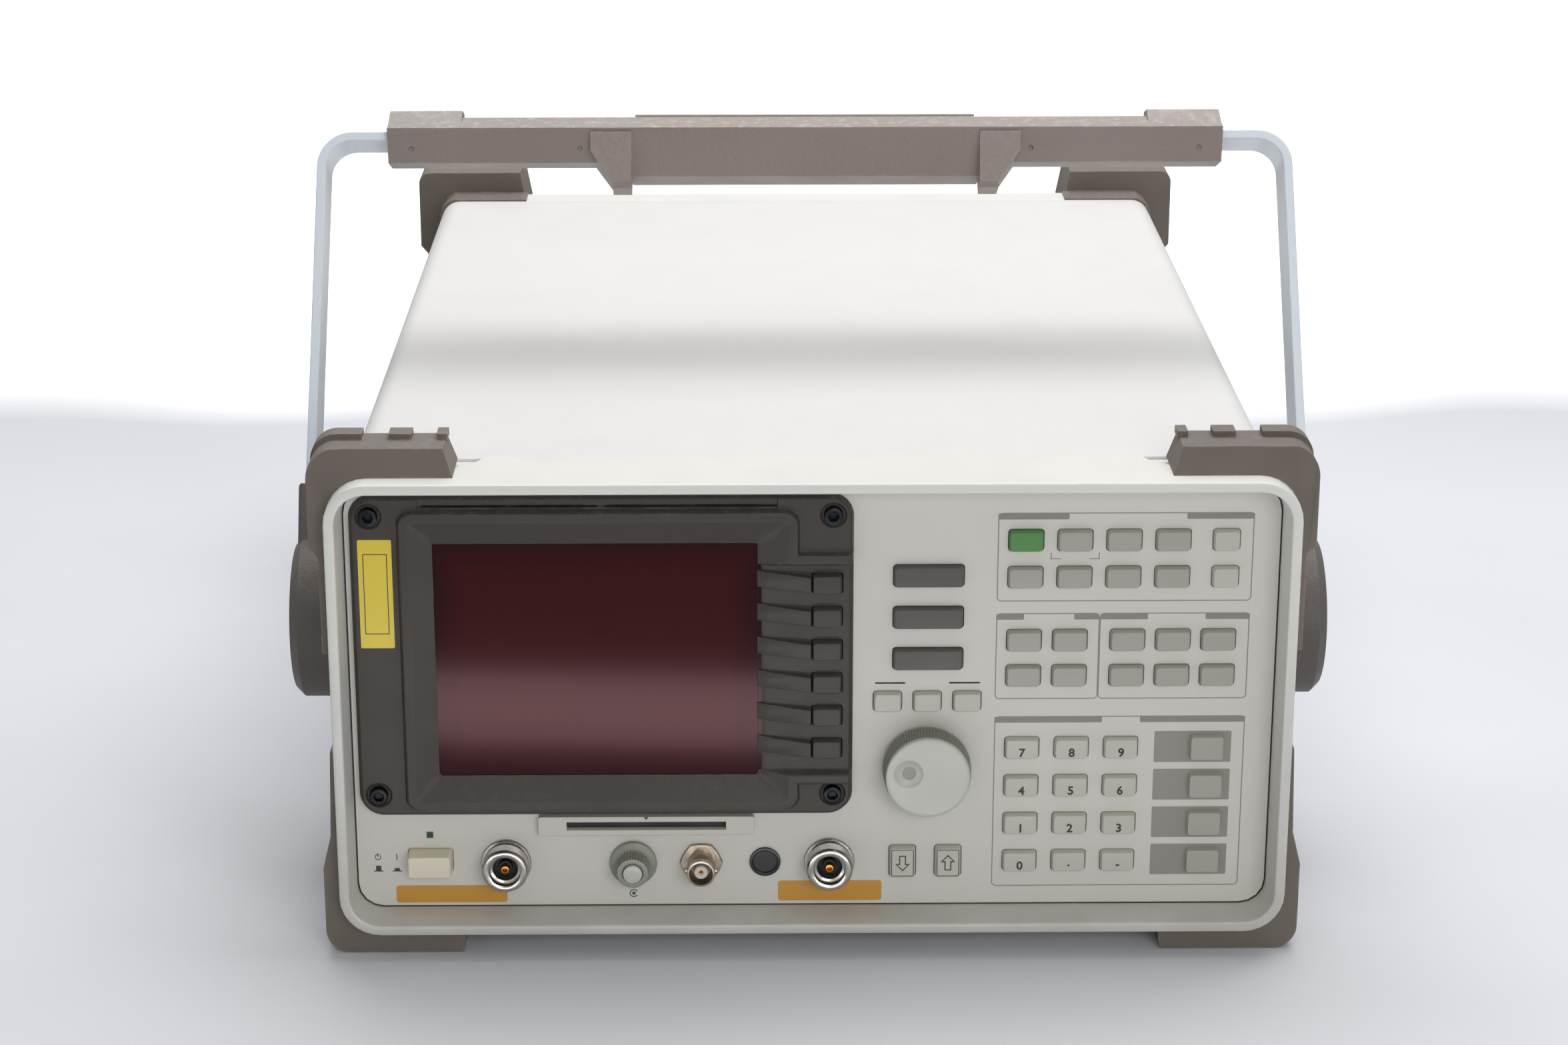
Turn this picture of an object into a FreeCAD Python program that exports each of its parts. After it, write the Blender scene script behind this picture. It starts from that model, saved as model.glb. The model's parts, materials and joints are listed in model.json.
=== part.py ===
import FreeCAD, Part
import math
import os

# Portable bench spectrum analyzer, in millimetres.
# Local frame while building: x across (0 at the centre), y rearward from the front
# frame's front plane, z up from the front frame's lower edge.  save() moves every
# solid so that the origin is the centre of the base, at the underside of the feet.

V = FreeCAD.Vector

# ---- driving dimensions ------------------------------------------------------

# front frame and case
frame_width = 325.0
frame_height = 163.0
frame_depth = 32.5
frame_corner = 14.0
frame_lip = 3.6
frame_draft = 1.3
frame_ledge = 6.0
frame_ledge_thickness = 3.0
panel_recess = 13.5
panel_thickness = 3.0
panel_gap = 0.25
case_width = 314.4
case_height = 161.4
case_corner = 8.0
case_wall = 1.6
cover_length = 380.5
rear_frame_depth = 14.0
rear_frame_wall = 3.0
rear_panel_inset = 4.0
rear_panel_thickness = 2.0
rim_length = 7.5
rim_wall = 2.0
slip_gap = 0.25
seat_gap = 0.3

# corner bumpers
foot_height = 10.0
bumper_crown = 9.0
rib_height = 2.0
thin_rib = (122.3, 125.9)
middle_rib = (134.3, 142.0)
wide_rib_start = 151.0
wide_rib_drop = 22.0
rib_root = 1.0
bumper_width = 337.0
bumper_flange = 3.0
bumper_front = 8.0
bumper_back = 30.0
bumper_inner_end = 119.7
bumper_end_flare = 3.4
foot_end_flare = 1.3
flange_slope = 12.0
bumper_top_corner = 9.0
rear_top_corner = 5.0
foot_corner = 8.5
rib_front = 22.5
rear_foot_length = 34.0
rear_foot_overlap = 8.0
rear_flange = 1.2
thick_drop = 24.5
flange_drop = 62.0
foot_thick_rise = 22.0
foot_flange_rise = 65.0
recess_radius = 15.5
recess_depth = 2.0
recess_offset = 6.8
recess_y = 34.3
recess_back = 25.6

# carrying handle
pivot_back = 106.0
pivot_height = 79.0
handle_lean = 26.0
arm_length = 179.0
strap_width = 20.0
strap_thickness = 3.4
strap_half_span = 183.4
strap_top_half_span = 180.8
strap_bend = 13.0
cap_radius = 29.5
cap_face_radius = 26.5
cap_half_span = 186.5
cap_bevel = 3.0
cap_arm_length = 47.0
cap_arm_half_width = 13.5
pivot_disc_radius = 25.0
pivot_disc_thickness = 5.1
pivot_pin_radius = 8.0
pivot_pin_length = 13.7
pivot_stud_radius = 6.0
running_gap = 0.05
hole_clearance = 0.2
nut_across = 18.0
nut_thickness = 5.0
grip_half_length = 154.7
grip_half_width = 14.0
grip_block_length = 27.0
grip_block_rise = 2.6
grip_pad_half_length = 63.5
grip_pad_rise = 1.4
grip_bottom = 173.0
grip_edge = 179.3
grip_top = 187.2
grip_belly = 162.6
horn_foot = 157.5
grip_hole_radius = 1.1
grip_hole_x = (-146.0, -83.5, 83.5, 146.0)
grip_hole_depth = 5.0
horn_inner = 64.5
horn_top_width = 15.0
horn_bottom_width = 7.0

# display
screen_x = -73.15
screen_z = 96.95
screen_width = 109.1
screen_height = 83.9
bezel_face = 10.0
bezel_left = -154.9
bezel_right = 13.1
bezel_bottom = 40.7
bezel_top = 155.2
bezel_corner = 8.0
bezel_skirt = 1.0
hood_front = 7.5
hood_x = -71.85
hood_width = 132.9
hood_height = 106.7
hood_land = 2.75
hood_corner = 3.0
screen_edge = 11.1
filter_thickness = 2.0
filter_margin = 3.5
filter_clearance = 0.25
panel_window_margin = 1.2
screw_socket_across = 2.8
screw_socket_depth = 1.8
screw_head_radius = 3.3
screw_head_front = 7.6
screw_shank_radius = 1.9
screw_inset_x = 6.3
screw_inset_z = 6.9
tube_width = 128.0
tube_height = 102.0
tube_corner = 14.0
tube_rim = 13.0
funnel_length = 82.0
neck_radius = 11.0
neck_length = 100.0
yoke_radius = 24.0
yoke_length = 27.0
yoke_offset = 4.0
tube_gap = 0.5
funnel_end = 18.7

# keys
key_gap = 0.25
key_rise = 2.6
key_draft = 0.45
key_corner = 1.1
key_edge = 0.4
key_lip = 0.8
key_lip_thickness = 1.5
key_travel = 1.5
line_travel = 3.0
softkey_rise = 2.0
mat_thickness = 1.5
board_thickness = 1.6
control_x = 39.1
small_key = (11.75, 7.5)
side_key_x = 139.05
side_key = (9.0, 7.5)
state_x0 = 71.65
state_pitch = 16.5
state_z = (138.75, 125.65)
marker_x = (71.65, 87.2)
control_group_x0 = 106.75
control_group_pitch = 15.43
function_z = (102.95, 90.15)
main_key = (23.75, 7.7)
main_z0 = 126.25
main_pitch = 14.9
window_key = (9.6, 7.1)
window_z = 80.95
window_pitch = 13.55
step_key = (9.15, 11.6)
step_z = 21.6
step_half_gap = 7.85
data_z0 = 63.7
data_pitch = 14.03
number_key = (11.7, 7.6)
number_x0 = 71.75
number_pitch = 16.95
unit_key = (11.9, 9.1)
unit_x = 135.15
softkey_size = (10.1, 6.9)
softkey_x = 4.75
softkey_z0 = 124.65
softkey_pitch = 11.94
post_x = (13.0, 147.15)
post_z = (13.5, 147.5)
post_radius = 2.0
board_margin = 3.0
softkey_board_reach = 11.0

# front controls and connectors
knob_z = 57.3
knob_front = 1.0
knob_back = 11.2
knob_face_radius = 14.4
knob_skirt_radius = 15.2
knob_shaft_radius = 3.0
dimple_radius = 5.2
dimple_depth = 1.2
dimple_x = -6.6
dimple_z = 1.5
encoder_radius = 12.0
encoder_length = 13.5
level_x = -61.9
level_z = 21.3
level_skirt_radius = 8.2
level_ring_radius = 5.7
level_cap_radius = 3.4
level_ring_front = 3.6
level_cap_front = 2.7
level_shaft_radius = 1.5
level_sleeve_radius = 3.0
level_skirt_thickness = 1.9
level_well = 1.6
level_body = 16.0
rf_out_x = -105.9
rf_in_x = 5.9
connector_z = 21.5
n_front = 4.9
n_thread_radius = 7.9
n_bore_radius = 4.5
n_washer_radius = 8.7
n_washer_thickness = 1.3
n_pin_radius = 1.4
n_pin_inset = 2.0
n_tail_radius = 7.0
cal_x = -38.4
cal_front = 2.7
cal_barrel_radius = 4.83
cal_bore_radius = 4.0
cal_nut_across = 15.0
cal_nut_thickness = 3.0
lug_radius = 1.0
lug_reach = 5.6
lug_back = 3.2
cal_tail_radius = 4.5
cal_core_radius = 2.4
cal_core_bore = 0.7
cal_core_inset = 1.2
probe_x = -16.3
probe_radius = 5.35
probe_body_radius = 4.55
probe_bore_radius = 3.85
probe_lip = 0.9
probe_pin_radius = 0.6
probe_pin_circle = 2.0
probe_well = 6.0
probe_pin_inset = 2.0
connector_tail = 12.0
line_x = -131.95
line_z = 22.5
line_width = 15.3
line_height = 8.6
line_front = 6.5
lamp_z = 32.0
lamp_size = 2.2
card_x = -57.2
card_z = 36.15
card_width = 74.4
card_height = 6.9
card_front = 10.5
card_mouth_width = 54.8
card_mouth_height = 2.9
card_cage_length = 62.0
card_cage_wall = 1.5

# inside
chassis_sheet = 1.5
case_clearance = 0.7
tube_window = 3.0
board_pitch = 21.0
board_count = 6
board_first_x = -128.0
board_front = 236.0
board_fan_gap = 10.0
board_height = 132.0
board_seat = 8.0
guide_thickness = 3.0
supply_width = 92.0
supply_height = 84.0
fan_x = -84.0
fan_z = 84.0
fan_size = 80.0
fan_depth = 25.0
fan_bore = 38.0
fan_blade_radius = 36.5
fan_hub_radius = 17.0
fan_shaft_radius = 2.5
fan_blades = 7
fan_plate = 3.0
fan_blade_angle = 35.0
fan_blade_half_width = 9.0
fan_strut_half_width = 2.0
input_module = (62.0, 84.0, 52.0, 60.0, 150.0)
oscillator_x = 120.0
oscillator_radius = 26.0
oscillator_span = (60.0, 112.0)
attenuator_box = (18.0, 128.0, 160.0, 205.0)
attenuator_height = 40.0
vent_slots = 9
vent_slot_pitch = 9.0
vent_slot_width = 4.0
vent_slot_margin = 15.0
chip_count = 4
chip_start = 0.12
chip_pitch = 34.0 / 150.0
chip_size = 22.0 / 150.0
inlet_x = 112.0
inlet_z = 34.0
inlet_flange = (36.0, 28.0)
inlet_shell = (27.6, 19.6)
inlet_mouth = (22.0, 14.0)
inlet_depth = 20.0
inlet_blade = (2.0, 4.0)
inlet_blade_places = ((-6.0, -2.0), (0.0, 2.0), (6.0, -2.0))
inlet_well = 15.0
port_x = 55.0
port_z = 91.0
port_flange = (68.0, 18.0)
port_shell = (59.6, 13.6)
port_mouth = (52.0, 8.0)
jack_x0 = 20.0
jack_pitch = 22.0
jack_z = 132.0
jack_radius = 4.8
jack_flange_radius = 7.0
jack_bore_radius = 3.6
vent_radius = 2.5
vent_pitch = 6.6
vent_rings = 5

# ---- derived places ----------------------------------------------------------

half_width = frame_width / 2
panel_back = panel_recess + panel_thickness
panel_inset = frame_lip + frame_draft
case_half = case_width / 2
case_mid_z = frame_height / 2
case_top = case_mid_z + case_height / 2
cover_back = frame_depth + cover_length
body_depth = cover_back + rear_frame_depth
overall_depth = body_depth + rear_foot_length
rear_panel_front = body_depth - rear_panel_inset - rear_panel_thickness
bumper_half = bumper_width / 2
strap_centre = arm_length - strap_thickness / 2
pivot_seat = case_half + pivot_disc_thickness
cap_inner = pivot_seat + seat_gap
screw_places = [(x, z) for x in (bezel_left + screw_inset_x, bezel_right - screw_inset_x)
                for z in (bezel_bottom + screw_inset_x + 1.2, bezel_top - screw_inset_z + 0.6)]
lip_front = panel_back + 0.2
lip_back = lip_front + key_lip_thickness
mat_front = lip_back + key_travel + seat_gap
board_plane = mat_front + mat_thickness
chassis_front = frame_depth + rim_length + seat_gap
chassis_back = cover_back - rim_length - seat_gap
chassis_half = case_half - case_wall - case_clearance
chassis_floor = case_mid_z - case_height / 2 + case_wall + case_clearance
floor_top = chassis_floor + chassis_sheet
board_length = rear_panel_front - fan_depth - board_fan_gap - board_front
supply_length = board_length


# ---- shape helpers -----------------------------------------------------------

def block(x0, x1, y0, y1, z0, z1):
    return Part.makeBox(x1 - x0, y1 - y0, z1 - z0, V(x0, y0, z0))


def rod_y(x, z, radius, y0, y1):
    return Part.makeCylinder(radius, y1 - y0, V(x, y0, z), V(0, 1, 0))


def rod_x(y, z, radius, x0, x1):
    return Part.makeCylinder(radius, x1 - x0, V(x0, y, z), V(1, 0, 0))


def cone_y(x, z, radius0, y0, radius1, y1):
    return Part.makeCone(radius0, radius1, y1 - y0, V(x, y0, z), V(0, 1, 0))


def arc(start, centre, radius, mid_angle, end):
    """Arc in the x-z plane through the point at mid_angle degrees about its centre."""
    a = math.radians(mid_angle)
    middle = V(centre.x + radius * math.cos(a), centre.y, centre.z + radius * math.sin(a))
    return Part.Arc(start, middle, end).toShape()


def rounded_wire(cx, cz, width, height, radius, y):
    """Rectangle with round corners in the plane of constant y."""
    x0, x1 = cx - width / 2, cx + width / 2
    z0, z1 = cz - height / 2, cz + height / 2
    r = radius
    line = lambda xa, za, xb, zb: Part.LineSegment(V(xa, y, za), V(xb, y, zb)).toShape()
    return Part.Wire([
        line(x0 + r, z0, x1 - r, z0),
        arc(V(x1 - r, y, z0), V(x1 - r, y, z0 + r), r, -45, V(x1, y, z0 + r)),
        line(x1, z0 + r, x1, z1 - r),
        arc(V(x1, y, z1 - r), V(x1 - r, y, z1 - r), r, 45, V(x1 - r, y, z1)),
        line(x1 - r, z1, x0 + r, z1),
        arc(V(x0 + r, y, z1), V(x0 + r, y, z1 - r), r, 135, V(x0, y, z1 - r)),
        line(x0, z1 - r, x0, z0 + r),
        arc(V(x0, y, z0 + r), V(x0 + r, y, z0 + r), r, 225, V(x0 + r, y, z0)),
    ])


def rounded_block(cx, cz, width, height, radius, y0, y1):
    face = Part.Face(rounded_wire(cx, cz, width, height, radius, y0))
    return face.extrude(V(0, y1 - y0, 0))


def tapered_block(cx, cz, front, back, y0, y1):
    """Solid between two round-cornered rectangles, each (width, height, radius)."""
    wires = [rounded_wire(cx, cz, *front, y0), rounded_wire(cx, cz, *back, y1)]
    return Part.makeLoft(wires, True, True)


def frame_section(inset):
    radius = max(frame_corner - inset, 1.0)
    return frame_width - 2 * inset, frame_height - 2 * inset, radius


def case_section(inset):
    radius = max(case_corner - inset, 0.8)
    return case_width - 2 * inset, case_height - 2 * inset, radius


def frame_block(inset, y0, y1):
    return rounded_block(0, case_mid_z, *frame_section(inset), y0, y1)


def case_block(inset, y0, y1):
    return rounded_block(0, case_mid_z, *case_section(inset), y0, y1)


def hexagon_y(x, z, across, y0, y1):
    radius = across / math.sqrt(3)
    points = [V(x + radius * math.cos(math.radians(60 * i)), y0,
                z + radius * math.sin(math.radians(60 * i))) for i in range(7)]
    return Part.Face(Part.makePolygon(points)).extrude(V(0, y1 - y0, 0))


def prism_x(points, x0, x1):
    """Polygon of (y, z) points carried along x."""
    corners = [V(x0, y, z) for y, z in points]
    return Part.Face(Part.makePolygon(corners + corners[:1])).extrude(V(x1 - x0, 0, 0))


def mirrored(shape):
    return shape.mirror(V(0, 0, 0), V(1, 0, 0))


def both_sides(shape):
    return [shape, mirrored(shape)]


def join(first, others):
    return first.fuse(others).removeSplitter()


def save(name, solids):
    moved = []
    for solid in solids:
        solid = solid.copy()
        solid.translate(V(0, -overall_depth / 2, foot_height))
        moved += solid.Solids
    shape = moved[0] if len(moved) == 1 else Part.makeCompound(moved)
    shape.exportStep("parts/" + name + ".step")


# ---- keys --------------------------------------------------------------------

def key_solid(x, z, width, height, front, rise_from, travel=key_travel):
    """Cap with drafted sides, a shank through the panel and a retaining lip behind it."""
    draft = 2 * key_draft
    cap = tapered_block(x, z, (width - draft, height - draft, key_corner),
                        (width, height, key_corner), front, rise_from)
    rim = [e for e in cap.Edges if abs(e.BoundBox.YMax - front) < 1e-6]
    cap = cap.makeFillet(key_edge, rim)
    shank = rounded_block(x, z, width, height, key_corner, rise_from, lip_front)
    lip = rounded_block(x, z, width + 2 * key_lip, height + 2 * key_lip, key_corner,
                        lip_front, lip_back)
    return join(cap, [shank, lip])


def key_layout():
    """Every key as node name -> list of (x, z, width, height)."""
    layout = {}
    state_x = [state_x0 + state_pitch * i for i in range(4)]
    upper, lower = state_z
    layout["preset_key"] = [(state_x[0], upper, *small_key)]
    layout["state_row_upper"] = [(x, upper, *small_key) for x in state_x[1:]]
    layout["state_row_lower"] = [(x, lower, *small_key) for x in state_x]
    layout["state_row_upper"].append((side_key_x, upper, *side_key))
    layout["state_row_lower"].append((side_key_x, lower, *side_key))
    function_x = list(marker_x) + [control_group_x0 + control_group_pitch * i for i in range(3)]
    for name, z in zip(("function_row_upper", "function_row_lower"), function_z):
        layout[name] = [(x, z, *small_key) for x in function_x]
    for i, name in enumerate(("frequency_key", "span_key", "amplitude_key")):
        layout[name] = [(control_x, main_z0 - main_pitch * i, *main_key)]
    layout["window_keys"] = [(control_x + window_pitch * i, window_z, *window_key) for i in (-1, 0, 1)]
    layout["step_down_key"] = [(control_x - step_half_gap, step_z, *step_key)]
    layout["step_up_key"] = [(control_x + step_half_gap, step_z, *step_key)]
    for row in range(4):
        z = data_z0 - data_pitch * row
        places = [number_x0 + number_pitch * i for i in range(3)]
        layout["number_row_%d" % (row + 1)] = [(x, z, *number_key) for x in places]
        layout["unit_key_%d" % (row + 1)] = [(unit_x, z, *unit_key)]
    return layout


def softkey_layout():
    return [(softkey_x, softkey_z0 - softkey_pitch * i, *softkey_size) for i in range(6)]


def build_keys():
    for name, keys in key_layout().items():
        save(name, [key_solid(*k, panel_recess - key_rise, panel_recess) for k in keys])
    for i, key in enumerate(softkey_layout()):
        save("softkey_%d" % (i + 1), [key_solid(*key, bezel_face - softkey_rise, bezel_face)])
    line = key_solid(line_x, line_z, line_width, line_height, line_front, panel_recess)
    save("line_key", [line])


# ---- front -------------------------------------------------------------------

def build_front_frame():
    rim_outer = case_wall + slip_gap
    body = frame_block(0, 0, frame_depth)
    recess = tapered_block(0, case_mid_z, frame_section(frame_lip), frame_section(panel_inset),
                           0, panel_recess)
    ledge_back = panel_back + frame_ledge_thickness
    web_front = frame_depth - frame_ledge_thickness
    cuts = [recess, frame_block(panel_inset, panel_recess, panel_back),
            frame_block(panel_inset + frame_ledge, panel_back, ledge_back),
            frame_block(panel_inset, ledge_back, web_front),
            case_block(rim_outer + rim_wall, web_front, frame_depth)]
    body = body.cut(cuts)
    rim = case_block(rim_outer, frame_depth, frame_depth + rim_length)
    rim = rim.cut(case_block(rim_outer + rim_wall, frame_depth, frame_depth + rim_length))
    body = join(body, [rim])
    recess_x = bumper_inner_end + recess_offset
    disc = Part.makeCylinder(recess_radius, recess_depth, V(recess_x, recess_y, frame_height - recess_depth))
    trough = disc.common(block(0, frame_width, 0, recess_back, 0, frame_height + 1))
    save("front_frame", [body.cut(both_sides(trough))])


def panel_openings():
    """Everything that passes through the front panel, grown by its clearance."""
    y0, y1 = panel_recess - 1, panel_back + 1
    grow = 2 * key_gap
    keys = [k for group in key_layout().values() for k in group] + softkey_layout()
    keys.append((line_x, line_z, line_width, line_height))
    cuts = [rounded_block(x, z, w + grow, h + grow, key_corner + key_gap, y0, y1)
            for x, z, w, h in keys]
    cuts.append(rounded_block(screen_x, screen_z, screen_width + 2 * panel_window_margin,
                              screen_height + 2 * panel_window_margin, 2.0, y0, y1))
    rounds = [(control_x, knob_z, knob_shaft_radius + 0.5), (level_x, level_z, level_sleeve_radius + 0.5)]
    rounds += [(x, connector_z, n_tail_radius + hole_clearance) for x in (rf_out_x, rf_in_x)]
    rounds += [(cal_x, connector_z, cal_tail_radius + hole_clearance),
               (probe_x, connector_z, probe_body_radius + hole_clearance)]
    rounds += [(x, z, screw_shank_radius) for x, z in screw_places]
    cuts += [rod_y(x, z, r, y0, y1) for x, z, r in rounds]
    cuts.append(block(line_x - lamp_size / 2, line_x + lamp_size / 2, y0, y1,
                      lamp_z - lamp_size / 2, lamp_z + lamp_size / 2))
    half_w, half_h = card_mouth_width / 2 + card_cage_wall, card_mouth_height / 2 + card_cage_wall
    cuts.append(block(card_x - half_w, card_x + half_w, y0, y1, card_z - half_h, card_z + half_h))
    return cuts


def board_posts():
    return [(x, z) for z in post_z for x in post_x]


def build_front_panel():
    plate = frame_block(panel_inset + panel_gap, panel_recess, panel_back)
    plate = plate.cut(panel_openings())
    posts = [rod_y(x, z, post_radius, panel_back, board_plane) for x, z in board_posts()]
    save("front_panel", [join(plate, posts)])


def build_keyboard():
    x0, x1 = softkey_x - softkey_board_reach, post_x[1] + board_margin
    z0, z1 = post_z[0] - board_margin, post_z[1] + board_margin
    hole = rod_y(control_x, knob_z, encoder_radius + 1.0, mat_front, board_plane + board_thickness)
    clear_x = rf_in_x + n_washer_radius + 1.5
    corner = block(x0, clear_x, mat_front, board_plane + board_thickness, z0, connector_z + 12.0)
    mat = block(x0, x1, mat_front, board_plane, z0, z1)
    mat = mat.cut([hole, corner] + [rod_y(x, z, post_radius + 0.5, mat_front, board_plane)
                              for x, z in board_posts()])
    board = block(x0, x1, board_plane, board_plane + board_thickness, z0, z1).cut([hole, corner])
    save("keypad_mat", [mat])
    save("keyboard_board", [board])


def build_display():
    width, height = bezel_right - bezel_left, bezel_top - bezel_bottom
    mid_x, mid_z = (bezel_left + bezel_right) / 2, (bezel_bottom + bezel_top) / 2
    skirt = 2 * bezel_skirt
    base = tapered_block(mid_x, mid_z, (width, height, bezel_corner),
                         (width + skirt, height + skirt, bezel_corner + bezel_skirt),
                         bezel_face, panel_recess)
    hood = tapered_block(hood_x, screen_z, (hood_width, hood_height, hood_corner),
                         (hood_width + 2, hood_height + 2, hood_corner + 1), hood_front, bezel_face)
    bezel = join(base, [hood])
    land = 2 * hood_land
    wires = [rounded_wire(hood_x, screen_z, hood_width - land, hood_height - land, 2.0, hood_front),
             rounded_wire(screen_x, screen_z, screen_width, screen_height, 1.5, screen_edge)]
    mouth = Part.makeLoft(wires, True, True)
    pocket = screen_width + 2 * filter_margin, screen_height + 2 * filter_margin
    filter_front = panel_recess - filter_thickness
    cuts = [mouth,
            rounded_block(screen_x, screen_z, screen_width, screen_height, 1.5, screen_edge, panel_recess),
            rounded_block(screen_x, screen_z, pocket[0] + 2 * filter_clearance,
                          pocket[1] + 2 * filter_clearance, 2.0,
                          filter_front, panel_recess)]
    cuts += [rounded_block(x, z, w + 2 * key_gap, h + 2 * key_gap, key_corner + key_gap,
                           0, panel_recess) for x, z, w, h in softkey_layout()]
    cuts += [rod_y(x, z, screw_shank_radius, bezel_face, panel_recess) for x, z in screw_places]
    save("display_bezel", [bezel.cut(cuts)])
    glass = rounded_block(screen_x, screen_z, *pocket, 2.0, filter_front, panel_recess)
    save("screen_filter", [glass])
    screws = []
    for x, z in screw_places:
        head = rod_y(x, z, screw_head_radius, screw_head_front, bezel_face)
        head = head.cut(hexagon_y(x, z, screw_socket_across, screw_head_front,
                                  screw_head_front + screw_socket_depth))
        screws.append(join(head, [rod_y(x, z, screw_shank_radius, bezel_face, panel_back)]))
    save("bezel_screws", screws)


def build_picture_tube():
    face = panel_back + tube_gap
    funnel_front = face + tube_rim
    neck_front = funnel_front + funnel_length
    rim = rounded_block(screen_x, screen_z, tube_width, tube_height, tube_corner, face, funnel_front)
    side = funnel_end
    funnel = tapered_block(screen_x, screen_z, (tube_width, tube_height, tube_corner),
                           (side, side, side / 3), funnel_front, neck_front)
    neck = rod_y(screen_x, screen_z, neck_radius, neck_front, neck_front + neck_length)
    tube = join(rim, [funnel, neck])
    yoke_front = neck_front + yoke_offset
    yoke = rod_y(screen_x, screen_z, yoke_radius, yoke_front, yoke_front + yoke_length)
    yoke = yoke.cut(rod_y(screen_x, screen_z, neck_radius + seat_gap, yoke_front, yoke_front + yoke_length))
    save("picture_tube", [tube, yoke])


# ---- controls and sockets ----------------------------------------------------

def build_tuning_knob():
    body = cone_y(control_x, knob_z, knob_face_radius, knob_front, knob_skirt_radius, knob_back)
    ball = (dimple_radius ** 2 + dimple_depth ** 2) / (2 * dimple_depth)
    dimple = Part.makeSphere(ball, V(control_x + dimple_x, knob_front + dimple_depth - ball, knob_z + dimple_z))
    shaft = rod_y(control_x, knob_z, knob_shaft_radius, knob_back, panel_back + encoder_length - 2)
    save("tuning_knob", [join(body.cut(dimple), [shaft])])


def build_level_knobs():
    bore = level_shaft_radius + running_gap
    well = level_ring_front + level_well
    skirt_back = panel_recess - seat_gap
    skirt_front = skirt_back - level_skirt_thickness
    ring = rod_y(level_x, level_z, level_ring_radius, level_ring_front, skirt_front)
    skirt = rod_y(level_x, level_z, level_skirt_radius, skirt_front, skirt_back)
    sleeve = rod_y(level_x, level_z, level_sleeve_radius, skirt_back, panel_back + 6)
    outer = join(ring, [skirt, sleeve])
    outer = outer.cut([rod_y(level_x, level_z, level_cap_radius + hole_clearance, level_ring_front, well),
                       rod_y(level_x, level_z, bore, well, panel_back + 6)])
    save("volume_knob", [outer])
    cap = rod_y(level_x, level_z, level_cap_radius, level_cap_front, well - hole_clearance)
    shaft = rod_y(level_x, level_z, level_shaft_radius, well - hole_clearance, panel_back + 8)
    save("intensity_knob", [join(cap, [shaft])])


def build_encoders():
    encoder = rod_y(control_x, knob_z, encoder_radius, panel_back, panel_back + encoder_length)
    encoder = encoder.cut(rod_y(control_x, knob_z, knob_shaft_radius + running_gap,
                                panel_back, panel_back + encoder_length - 1.5))
    half = level_body / 2
    pot = block(level_x - half, level_x + half, panel_back, panel_back + 12,
                level_z - half, level_z + half)
    pot = pot.cut([rod_y(level_x, level_z, level_sleeve_radius + running_gap, panel_back, panel_back + 6.5),
                   rod_y(level_x, level_z, level_shaft_radius + 0.1, panel_back + 6.5, panel_back + 8.5)])
    save("control_encoders", [encoder, pot])


def n_connector(x):
    """Threaded coaxial jack: washer, barrel, tail, and a contact on its insulator."""
    washer_front = panel_recess - n_washer_thickness
    barrel = rod_y(x, connector_z, n_thread_radius, n_front, washer_front)
    washer = rod_y(x, connector_z, n_washer_radius, washer_front, panel_recess)
    tail = rod_y(x, connector_z, n_tail_radius, panel_recess, panel_back + connector_tail)
    shell = join(barrel, [washer, tail])
    shell = shell.cut(rod_y(x, connector_z, n_bore_radius, n_front, panel_recess))
    contact = rod_y(x, connector_z, n_pin_radius, n_front + n_pin_inset, panel_recess)
    return [shell, contact]


def build_connectors():
    save("rf_connectors", n_connector(rf_out_x) + n_connector(rf_in_x))
    nut_front = panel_recess - cal_nut_thickness
    barrel = rod_y(cal_x, connector_z, cal_barrel_radius, cal_front, nut_front)
    nut = hexagon_y(cal_x, connector_z, cal_nut_across, nut_front, panel_recess)
    tail = rod_y(cal_x, connector_z, cal_tail_radius, panel_recess, panel_back + connector_tail)
    lugs = rod_x(cal_front + lug_back, connector_z, lug_radius, cal_x - lug_reach, cal_x + lug_reach)
    shell = join(barrel, [nut, tail, lugs])
    shell = shell.cut(rod_y(cal_x, connector_z, cal_bore_radius, cal_front, nut_front + 1))
    core_front = cal_front + cal_core_inset
    core = rod_y(cal_x, connector_z, cal_core_radius, core_front, nut_front + 1)
    core = core.cut(rod_y(cal_x, connector_z, cal_core_bore, core_front, nut_front))
    save("calibrator_connector", [shell, core])
    lip_front = panel_recess - probe_lip
    well = panel_recess + probe_well
    lip = rod_y(probe_x, connector_z, probe_radius, lip_front, panel_recess)
    body = rod_y(probe_x, connector_z, probe_body_radius, panel_recess, panel_back + connector_tail)
    socket = join(lip, [body]).cut(rod_y(probe_x, connector_z, probe_bore_radius, lip_front, well))
    turns = [math.radians(a) for a in (90, 210, 330)]
    pins = [rod_y(probe_x + probe_pin_circle * math.cos(a), connector_z + probe_pin_circle * math.sin(a),
                  probe_pin_radius, panel_recess + probe_pin_inset, well) for a in turns]
    save("probe_power_socket", [join(socket, pins)])


def build_card_slot():
    bezel = rounded_block(card_x, card_z, card_width, card_height, 1.0, card_front, panel_recess)
    cage_width = card_mouth_width + 2 * card_cage_wall
    cage_height = card_mouth_height + 2 * card_cage_wall
    back = panel_recess + card_cage_length
    cage = block(card_x - cage_width / 2, card_x + cage_width / 2, panel_recess, back,
                 card_z - cage_height / 2, card_z + cage_height / 2)
    slot = block(card_x - card_mouth_width / 2, card_x + card_mouth_width / 2,
                 card_front - 1, back - card_cage_wall,
                 card_z - card_mouth_height / 2, card_z + card_mouth_height / 2)
    save("card_slot", [join(bezel, [cage]).cut(slot)])


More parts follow.
